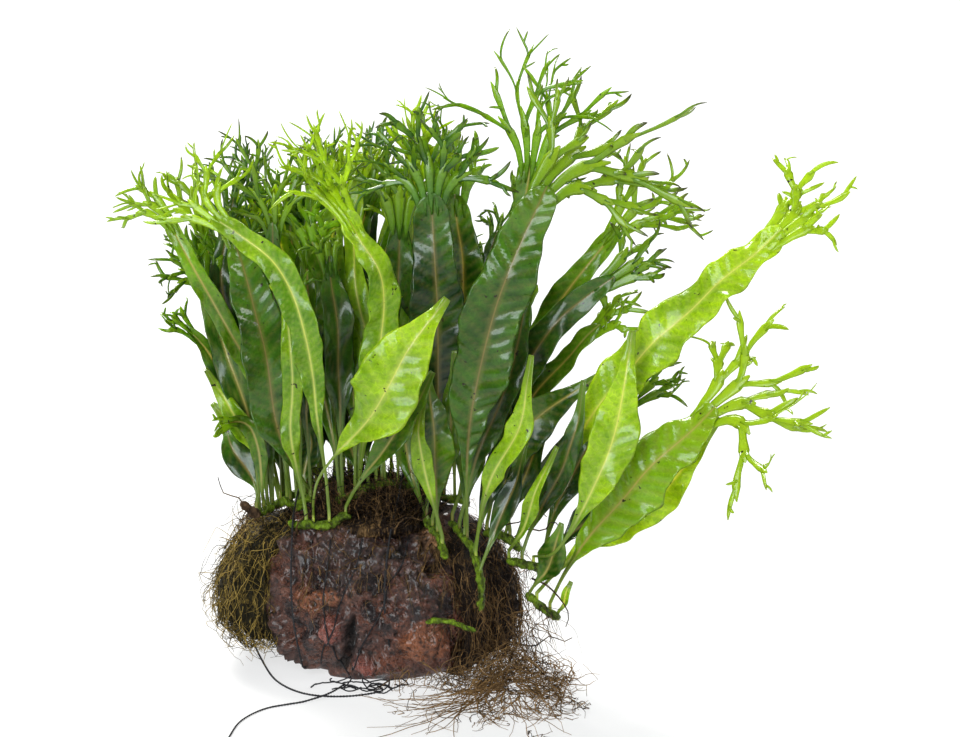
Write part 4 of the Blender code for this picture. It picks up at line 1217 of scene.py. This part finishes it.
def make_small_fronds(lines, leaves, materials):
    """Fronds joined in one piece for each green: some listed, the rest where there is room."""
    batches = {slot: Batch(*LEAF_VALUES) for slot in SMALL_PIECES.values()}
    chance = random.Random(2024)
    standing = list(leaves)

    def finish(leaf, batch):
        standing.append(leaf)
        tone = chance.uniform(-0.15, 0.5)
        ahead, face = make_blade(batch, leaf, SMALL_STYLE, chance, tone)
        if leaf.lobes:
            add_crest(batch, leaf, ahead, face, chance, chance.choice((0.0, 0.2, 0.6)), tone, 6, 5)

    for rhizome, share, widest, roll, bends, crest, slot in EXTRA_FRONDS:
        line = lines["rhizome_" + rhizome]
        base = line[int(share * (len(line) - 1))] + ABOVE_STEM
        finish(planned_leaf(base, bends, widest, roll, crest, 0.2, chance), batches[slot])
    for number in range(CRESTED_COUNT + BARE_COUNT):
        leaf = roomiest(lines, standing, number >= CRESTED_COUNT, chance)
        finish(leaf, batches[SMALL_ORDER[number % len(SMALL_ORDER)]])
    for name, slot in SMALL_PIECES.items():
        batches[slot].piece("small_fronds_" + name, materials[slot], slot)


# ---- the rhizomes

def rhizome_route(name):
    """The centre line of a creeping stem, found by walking along its rings."""
    points, faces = node_mesh(name)
    centre = points.mean(0)
    _, _, ways = np.linalg.svd(points - centre)
    end = points[np.abs((points - centre) @ ways[0]).argmax()]
    close = points[np.argsort(np.linalg.norm(points - end, axis=1))[:12]]
    outward = unit(end - close.mean(0))
    best = None
    for face in faces:
        if np.linalg.norm(points[face] - end, axis=1).min() < 0.01:
            normal = unit(np.cross(points[face[1]] - points[face[0]], points[face[2]] - points[face[0]]))
            score = abs(normal @ outward)
            if best is None or score > best[0]:
                best = (score, normal)
    flat = np.abs((points - end) @ best[1]) < 0.12
    cap = np.nonzero(flat & (np.linalg.norm(points - end, axis=1) < 4.2))[0]
    rows = rows_from(cap, neighbours(len(points), faces))
    return np.array([points[row].mean(0) for row in rows])


STEM_RADIUS = 1.6
RHIZOME_RADII = {"runner": 1.0, "right": 1.35, "centre": 1.35, "low_right": 1.4}


def make_rhizome(name, material, slot, chance, hairs):
    """A knobbly stem with tapered ends; gives its line, and adds where roots start to hairs."""
    radius = RHIZOME_RADII.get(name.removeprefix("rhizome_"), STEM_RADIUS)
    route = rhizome_route(name)
    line = evenly(smooth(route, np.linspace(0, len(route) - 1, 12 * len(route))), 0.55)
    run = run_of(line)
    from_end = np.minimum(run, run[-1] - run)
    size = radius * (0.35 + 0.65 * np.sqrt(np.clip(from_end / 2.4, 0, 1)))
    size *= 1 + 0.10 * np.sin(math.tau * run / chance.uniform(5.5, 8.0) + chance.uniform(0, 6))
    sides = 16
    points, faces = tubes(line[None], size[None], (0.1, 0.2, 1.0), sides)
    knobs = fractal(points, 0.55, 3, 4.0)
    core = np.repeat(line, sides, axis=0)
    points = core + (points - core) * (1 + 0.34 * knobs)[:, None]
    batch = Batch("tone")
    batch.add(points, faces, tone=np.clip(0.40 + 0.7 * knobs, 0, 1))
    batch.piece(name + "_skin", material, slot, [name])
    for _ in range(int(run[-1] * 1.5)):
        i = chance.randrange(2, len(line) - 2)
        hairs.append(line[i] + np.array((chance.uniform(-1, 1), chance.uniform(-1, 1), -0.6)) * radius * 0.8)
    return line


def make_rhizomes():
    """The stems and the old stub; gives their lines, and the places where roots start."""
    green = fibre_material("rhizome_skin", (0.0186, 0.0248, 0.0037), (0.1302, 0.2108, 0.0112), 0.32)
    old = fibre_material("dead_stub", (0.0186, 0.0099, 0.005), (0.0992, 0.0558, 0.0279), 0.6)
    hairs = []
    chance = random.Random(77)
    lines = {name: make_rhizome(name, green, "rhizome", chance, hairs)
             for name in nodes_named("rhizome_")}
    make_rhizome("old_rhizome_stub", old, "stub", chance, hairs)
    return lines, hairs


# ---- the roots

ROOT_PLACES = 9
ROOT_LOWEST = 0.3


def random_vector(chance, *ranges):
    """A place or direction whose X, Y and Z are each drawn from a range."""
    return Vector([chance.uniform(low, high) for low, high in ranges])


class Roots:
    """Fine roots gathered as paths, then made as thin closed tubes."""

    def __init__(self, seed):
        self.chance = random.Random(seed)
        self.paths = []
        self.sizes = []
        self.tones = []

    def add(self, path, size, tone):
        self.paths.append(path)
        self.sizes.append(size)
        self.tones.append(tone)

    def add_one_of(self, path, sizes, tones, lighter=0.0):
        """Adds a root with a random thickness and one of the tones."""
        self.add(path, self.chance.uniform(*sizes), self.chance.choice(tones) + lighter)

    def add_to(self, batch, sides=3):
        paths = np.array(self.paths)
        size = np.array(self.sizes)[:, None] * np.linspace(1.0, 0.45, ROOT_PLACES)
        first = np.cross(unit(paths[:, 1] - paths[:, 0]), (0.31, 0.87, 0.37))
        points, faces = tubes(paths, size, first, sides)
        batch.add(points, faces, tone=np.repeat(np.array(self.tones), ROOT_PLACES * sides))

    def wander(self, surface, start, heading, step, low, high, sag, turn):
        """A root that keeps between two distances from a surface as it goes."""
        chance = self.chance
        spot, heading = Vector(start), Vector(heading).normalized()
        path = [spot.copy()]
        for _ in range(ROOT_PLACES - 1):
            jitter = Vector((chance.gauss(0, turn), chance.gauss(0, turn), chance.gauss(0, turn) - sag))
            heading = (heading + jitter).normalized()
            spot = spot + heading * step
            near, normal, _, _ = surface.find_nearest(spot)
            away = (spot - near).dot(normal)
            wanted = min(high, max(low, away))
            if abs(wanted - away) > 1e-6:
                goal = near + normal * wanted
                heading = (heading + (goal - spot) * (0.6 / step)).normalized()
                spot = goal
            spot.z = max(spot.z, ROOT_LOWEST)
            path.append(spot.copy())
        return path

    def hang(self, start, heading, turns, sag, step):
        """A root that falls freely; step is called for the length of each stretch."""
        chance = self.chance
        spot = Vector(start)
        path = [spot.copy()]
        for _ in range(ROOT_PLACES - 1):
            jitter = Vector((chance.gauss(0, turns[0]), chance.gauss(0, turns[1]), -sag))
            heading = (heading + jitter).normalized()
            spot = spot + heading * step()
            spot.z = max(spot.z, ROOT_LOWEST)
            path.append(spot.copy())
        return path


def random_places(points, faces, count, chance, weight):
    """Random places on a mesh with the normal at each, by area times a weight."""
    triangles = np.array([(f[0], f[i], f[i + 1]) for f in faces for i in range(1, len(f) - 1)])
    a, b, c = (points[triangles[:, k]] for k in range(3))
    cross = np.cross(b - a, c - a)
    area = np.linalg.norm(cross, axis=1) * weight((a + b + c) / 3, unit(cross))
    draws = np.random.default_rng(chance.randrange(10**6))
    picked = draws.choice(len(area), count, p=area / area.sum())
    u, v = draws.random(count), draws.random(count)
    flip = u + v > 1
    u, v = np.where(flip, 1 - u, u), np.where(flip, 1 - v, v)
    spots = a[picked] + (b - a)[picked] * u[:, None] + (c - a)[picked] * v[:, None]
    return zip(spots, unit(cross[picked]))


CORE_LOWEST = 0.05


def dark_core(batch, name, sink, rough, seed):
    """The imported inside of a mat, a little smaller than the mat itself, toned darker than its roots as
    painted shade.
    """
    points, faces = node_mesh(name)
    mesh = bpy.data.meshes.new("core")
    mesh.from_pydata(points.tolist(), [], faces)
    item = bpy.data.objects.new("core", mesh)
    link(item)
    split = item.modifiers.new("split", "SUBSURF")
    split.levels = split.render_levels = 3
    split.subdivision_type = "SIMPLE"
    made = item.evaluated_get(bpy.context.evaluated_depsgraph_get()).to_mesh()
    places = np.array([v.co for v in made.vertices])
    normals = np.array([v.normal for v in made.vertices])
    skin = [list(face.vertices) for face in made.polygons]
    bpy.data.objects.remove(item, do_unlink=True)
    bumps = fractal(places, 0.16, 3, seed) + 0.6 * fractal(places, 0.6, 2, seed)
    solid = surface_of(points, faces)
    inward = [solid.ray_cast(Vector(p - 0.05 * n), Vector(-n))[3] or 0.0 for p, n in zip(places, normals)]
    move = np.maximum(rough * bumps - sink, -0.35 * np.array(inward))
    places = lifted(places + normals * move[:, None], CORE_LOWEST)
    # Painted shade: the core is toned darker than the roots over it, darkest where it dips in.
    batch.add(places, skin, tone=np.clip(-0.15 + 0.2 * bumps, -0.4, 0.2))


# The mats beside the rock: how many roots, thinnest and thickest, tones, the share that stands
# off, seed, how much they sag and how steeply they may set off downwards.
SIDE_MATS = {
    "left": (1450, (0.09, 0.20), (-0.1, 0.0, 0.15, 0.5, 0.9), 0.30, 11, 0.10, 1.6),
    "right": (1300, (0.09, 0.21), (-0.1, 0.0, 0.1, 0.4, 0.8), 0.34, 12, 0.22, 2.2),
}


def make_side_roots(side, rock, material):
    """One of the mats beside the rock: a packed core under layers of hanging roots."""
    def outside(middles, normals):
        """More roots where the mat faces away from the rock."""
        away = []
        for spot, normal in zip(middles, normals):
            near = rock.find_nearest(Vector(spot))[0]
            away.append(max(0.5, float(Vector(normal).dot((Vector(spot) - near).normalized()))))
        return np.array(away)

    count, sizes, tones, loose, seed, sag, drop = SIDE_MATS[side]
    name = "root_mat_" + side
    points, faces = node_mesh(name)
    surface = surface_of(points, faces)
    batch = Batch("tone")
    dark_core(batch, name, 1.6, 1.3, seed)
    roots = Roots(seed)
    chance = roots.chance
    for spot, normal in random_places(points, faces, count, chance, outside):
        heading = Vector(normal).cross(Vector(UP)) * chance.uniform(-1, 1)
        heading += Vector((0, 0, chance.uniform(-drop, 0.5)))
        free = chance.random() < loose
        high = chance.uniform(2.5, 7.5) if free else chance.uniform(0.0, 2.2)
        step = chance.choice((chance.uniform(0.9, 1.7), chance.uniform(1.6, 3.1)))
        path = roots.wander(surface, spot, heading + Vector(normal) * (0.6 if free else 0), step, -0.9,
                            high, sag, chance.uniform(0.12, 0.42))
        roots.add_one_of(path, sizes, tones, 0.15 if free else 0.0)
    roots.add_to(batch)
    batch.piece("roots_" + side, material, "roots", [name])


def make_top_roots(material):
    """The dark thatch on the crown, which stands up between the feet of the fronds."""
    points, faces = node_mesh("root_mat_top")
    surface = surface_of(points, faces)
    batch = Batch("tone")
    dark_core(batch, "root_mat_top", -1.6, 1.6, 3)
    roots = Roots(41)
    chance = roots.chance

    def upward(middles, normals):
        return np.maximum(0.0, normals[:, 2] + 0.25)

    for spot, _ in random_places(points, faces, 1320, chance, upward):
        rising = chance.random() < 0.55
        lift = chance.uniform(1.0, 3.5) if rising else chance.uniform(-0.3, 0.8)
        heading = Vector((chance.uniform(-1, 1), chance.uniform(-1, 1), lift))
        high = chance.uniform(7.0, 19.0) if rising else chance.uniform(0.8, 4.0)
        path = roots.wander(surface, spot, heading, chance.uniform(1.0, 2.6), 0.0, high, 0.06, 0.34)
        tone = chance.choice((-0.1, 0.0, 0.0, 0.1, 0.35))
        roots.add(path, chance.uniform(0.13, 0.28) if rising else chance.uniform(0.10, 0.22), tone)
    roots.add_to(batch)
    batch.piece("roots_on_top", material, "roots", ["root_mat_top"])


# Where short roots hang below the stems: how many, and the ranges of X, Y and Z they start in.
HANGING = ((100, (6, 44), (-36, -18), (0.5, 10.0)), (150, (36, 58), (-30, -8), (4.0, 26.0)))


def make_floor_roots(material):
    """A tangled foot of roots, and long loose ones that curl out over the floor."""
    points, faces = node_mesh("root_mat_floor")
    surface = surface_of(points, faces)
    apex = points[points[:, 2].argmax()]
    roots = Roots(53)
    chance = roots.chance

    def near_apex(middles, normals):
        away = np.linalg.norm(middles[:, :2] - apex[:2], axis=1)
        return np.exp(-(away / 13.0) ** 2)

    for spot, _ in random_places(points, faces, 640, chance, near_apex):
        heading = random_vector(chance, (-1, 1), (-1, 1), (-0.6, 0.6))
        path = roots.wander(surface, spot, heading, chance.uniform(0.8, 2.2), -3.0,
                            chance.uniform(0.3, 9.0), 0.04, 0.42)
        roots.add_one_of(path, (0.10, 0.24), (0.1, 0.3, 0.6, 0.9, 1.1))
    for count, *ranges in HANGING:
        for _ in range(count):
            start = random_vector(chance, *ranges)
            heading = random_vector(chance, (-1, 1), (-0.8, 0.2), (-0.6, 0.3))
            path = roots.hang(start, heading, (0.4, 0.3), 0.22, lambda: chance.uniform(1.2, 2.2))
            roots.add_one_of(path, (0.10, 0.24), (0.1, 0.25, 0.5, 0.9))
    rim = points[(points[:, 2] > 0.3) & (points[:, 2] < 2.0)]
    rim = rim[np.argsort(np.arctan2(rim[:, 1] - apex[1], rim[:, 0] - apex[0]))]
    for _ in range(190):
        roots.add_one_of(floor_path(apex, rim, chance), (0.13, 0.27), (0.6, 0.9, 1.2, 1.4))
    batch = Batch("tone")
    roots.add_to(batch)
    batch.piece("roots_on_floor", material, "roots", ["root_mat_floor"])


def floor_path(apex, rim, chance):
    """A long root that comes down from the foot and curls out towards the rim."""
    i = chance.randrange(len(rim))
    mix = chance.random()
    goal = rim[i] * (1 - mix) + rim[(i + 1) % len(rim)] * mix
    spot = apex + (goal - apex) * chance.uniform(0.10, 0.45)
    spot[2] = chance.uniform(0.3, 6.0)
    fall = spot[2] - 0.25
    reach = np.linalg.norm((goal - spot)[:2]) * chance.uniform(0.45, 1.05)
    heading = math.atan2(*(goal - spot)[[1, 0]]) + chance.gauss(0, 0.45)
    curl = chance.gauss(0, 0.16)
    steps = ROOT_PLACES - 1
    path = [spot.copy()]
    for k in range(steps):
        heading += curl + chance.gauss(0, 0.20)
        spot = spot + np.array((math.cos(heading), math.sin(heading), 0.0)) * reach / steps
        spot[2] = 0.25 + fall * (1 - (k + 1) / steps) ** 1.6 + max(0.0, chance.gauss(0, 0.25))
        path.append(spot)
    return path


# Stiff brown roots that stick out and hook over, each by the places it bends through.
HOOKED_ROOTS = (
    ((50, -12, 48), (54, -15, 52), (60, -17, 52), (63, -18, 56), (66, -18, 53)),
    ((44, -16, 50), (46, -20, 55), (52, -22, 57), (57, -21, 61), (61, -20, 58)),
    ((56, -16, 34), (61, -20, 33), (66, -21, 28), (69, -20, 22), (68, -19, 17)),
    ((50, -22, 12), (57, -27, 13), (62, -28, 17), (67, -28, 15), (70, -27, 16)),
    ((-40, -8, 52), (-44, -9, 57), (-47, -10, 62), (-52, -9, 63), (-54, -9, 69)),
    ((-26, -22, 52), (-25, -25, 58), (-20, -27, 63), (-18, -27, 69), (-14, -26, 72)),
    ((8, -22, 51), (9, -27, 57), (13, -29, 61), (18, -30, 60), (21, -31, 65)),
)


def make_single_roots(rock, material, hairs):
    """Single roots that cross the bare rock, short ones under the stems, and hooked ones."""
    low, high = box_of("lava_rock")
    roots = Roots(67)
    chance = roots.chance
    for _ in range(150):
        share = chance.random() ** 0.55
        start = Vector((low[0] + 4 + share * (high[0] - low[0] - 6), -26, high[2] - chance.uniform(0, 16)))
        heading = Vector((chance.uniform(-0.9, 0.7), -0.3, -1.0))
        path = roots.wander(rock, rock.find_nearest(start)[0], heading, chance.uniform(1.0, 3.4), 0.2,
                            chance.uniform(0.3, 2.4), 0.10, 0.26)
        roots.add_one_of(path, (0.08, 0.20), (0.0, 0.1, 0.3, 0.7))
    for spot in hairs:
        heading = random_vector(chance, (-1, 1), (-1, 0.6), (-1.0, 0.3))
        step = chance.uniform(0.5, 1.3) if chance.random() < 0.75 else chance.uniform(1.3, 2.4)
        path = roots.hang(spot, heading, (0.3, 0.3), 0.20, lambda: step)
        roots.add_one_of(path, (0.08, 0.18), (-0.1, 0.05, 0.2, 0.45))
    for bends in HOOKED_ROOTS:
        roots.add(through(np.array(bends, float), ROOT_PLACES), chance.uniform(0.32, 0.45), 0.1)
    batch = Batch("tone")
    roots.add_to(batch)
    batch.piece("single_roots", material, "roots")


def make_roots(rock, hairs):
    brown = fibre_material("brown_roots", (0.0081, 0.004, 0.0025), (0.274, 0.1572, 0.0605), 0.55)
    olive = fibre_material("olive_roots", (0.0105, 0.0085, 0.0028), (0.35, 0.235, 0.054), 0.55)
    make_side_roots("left", rock, olive)
    make_side_roots("right", rock, brown)
    make_top_roots(brown)
    make_floor_roots(brown)
    make_single_roots(rock, brown, hairs)


# ---- the floor and the light

FLOOR_HALF = 12.0
WORLD_STRENGTH = 0.16
# Each sun: the way it shines, its strength, how wide it is in degrees and its colour.
SUNS = {
    "back_light": ((0.35, -0.75, -0.9), 6.6, 24, (1.0, 0.99, 0.94)),
    "front_light": ((0.38, 0.76, -0.68), 2.1, 32, (0.94, 0.98, 1.0)),
    "window_light": ((0.34, 0.90, -0.16), 2.6, 32, (0.88, 0.97, 1.0)),
    "side_light": ((-0.90, 0.30, -0.60), 1.5, 24, (1.0, 1.0, 1.0)),
}


def make_floor():
    mesh = bpy.data.meshes.new("floor")
    corners = [(FLOOR_HALF * x, FLOOR_HALF * y, 0) for x, y in ((-1, -1), (1, -1), (1, 1), (-1, 1))]
    mesh.from_pydata(corners, [], [(0, 1, 2, 3)])
    mesh.materials.append(floor_material())
    floor = bpy.data.objects.new("floor", mesh)
    link(floor)


def make_light():
    scene = bpy.context.scene
    scene.world = bpy.data.worlds.new("studio")
    scene.world.use_nodes = True
    shade = scene.world.node_tree.nodes["Background"]
    shade.inputs["Color"].default_value = rgb(1.0, 1.0, 1.0)
    shade.inputs["Strength"].default_value = WORLD_STRENGTH
    for name, (toward, strength, angle, colour) in SUNS.items():
        data = bpy.data.lights.new(name, "SUN")
        data.energy = strength
        data.angle = math.radians(angle)
        data.color = colour
        sun = bpy.data.objects.new(name, data)
        sun.rotation_mode = "QUATERNION"
        sun.rotation_quaternion = Vector(toward).to_track_quat("-Z", "Y")
        link(sun)
    scene.view_settings.view_transform = "Standard"


def main():
    make_camera()
    thread = thread_material()
    make_tails(thread)
    make_turns(thread)
    make_knot(thread)
    rock = make_rock(rock_material())
    make_strands(rock, thread)
    lines, hairs = make_rhizomes()
    make_roots(rock, hairs)
    greens = {slot: leaf_material(*look) for slot, look in GREENS.items()}
    leaves = make_fronds(greens)
    make_small_fronds(lines, leaves, greens)
    make_floor()
    make_light()


main()
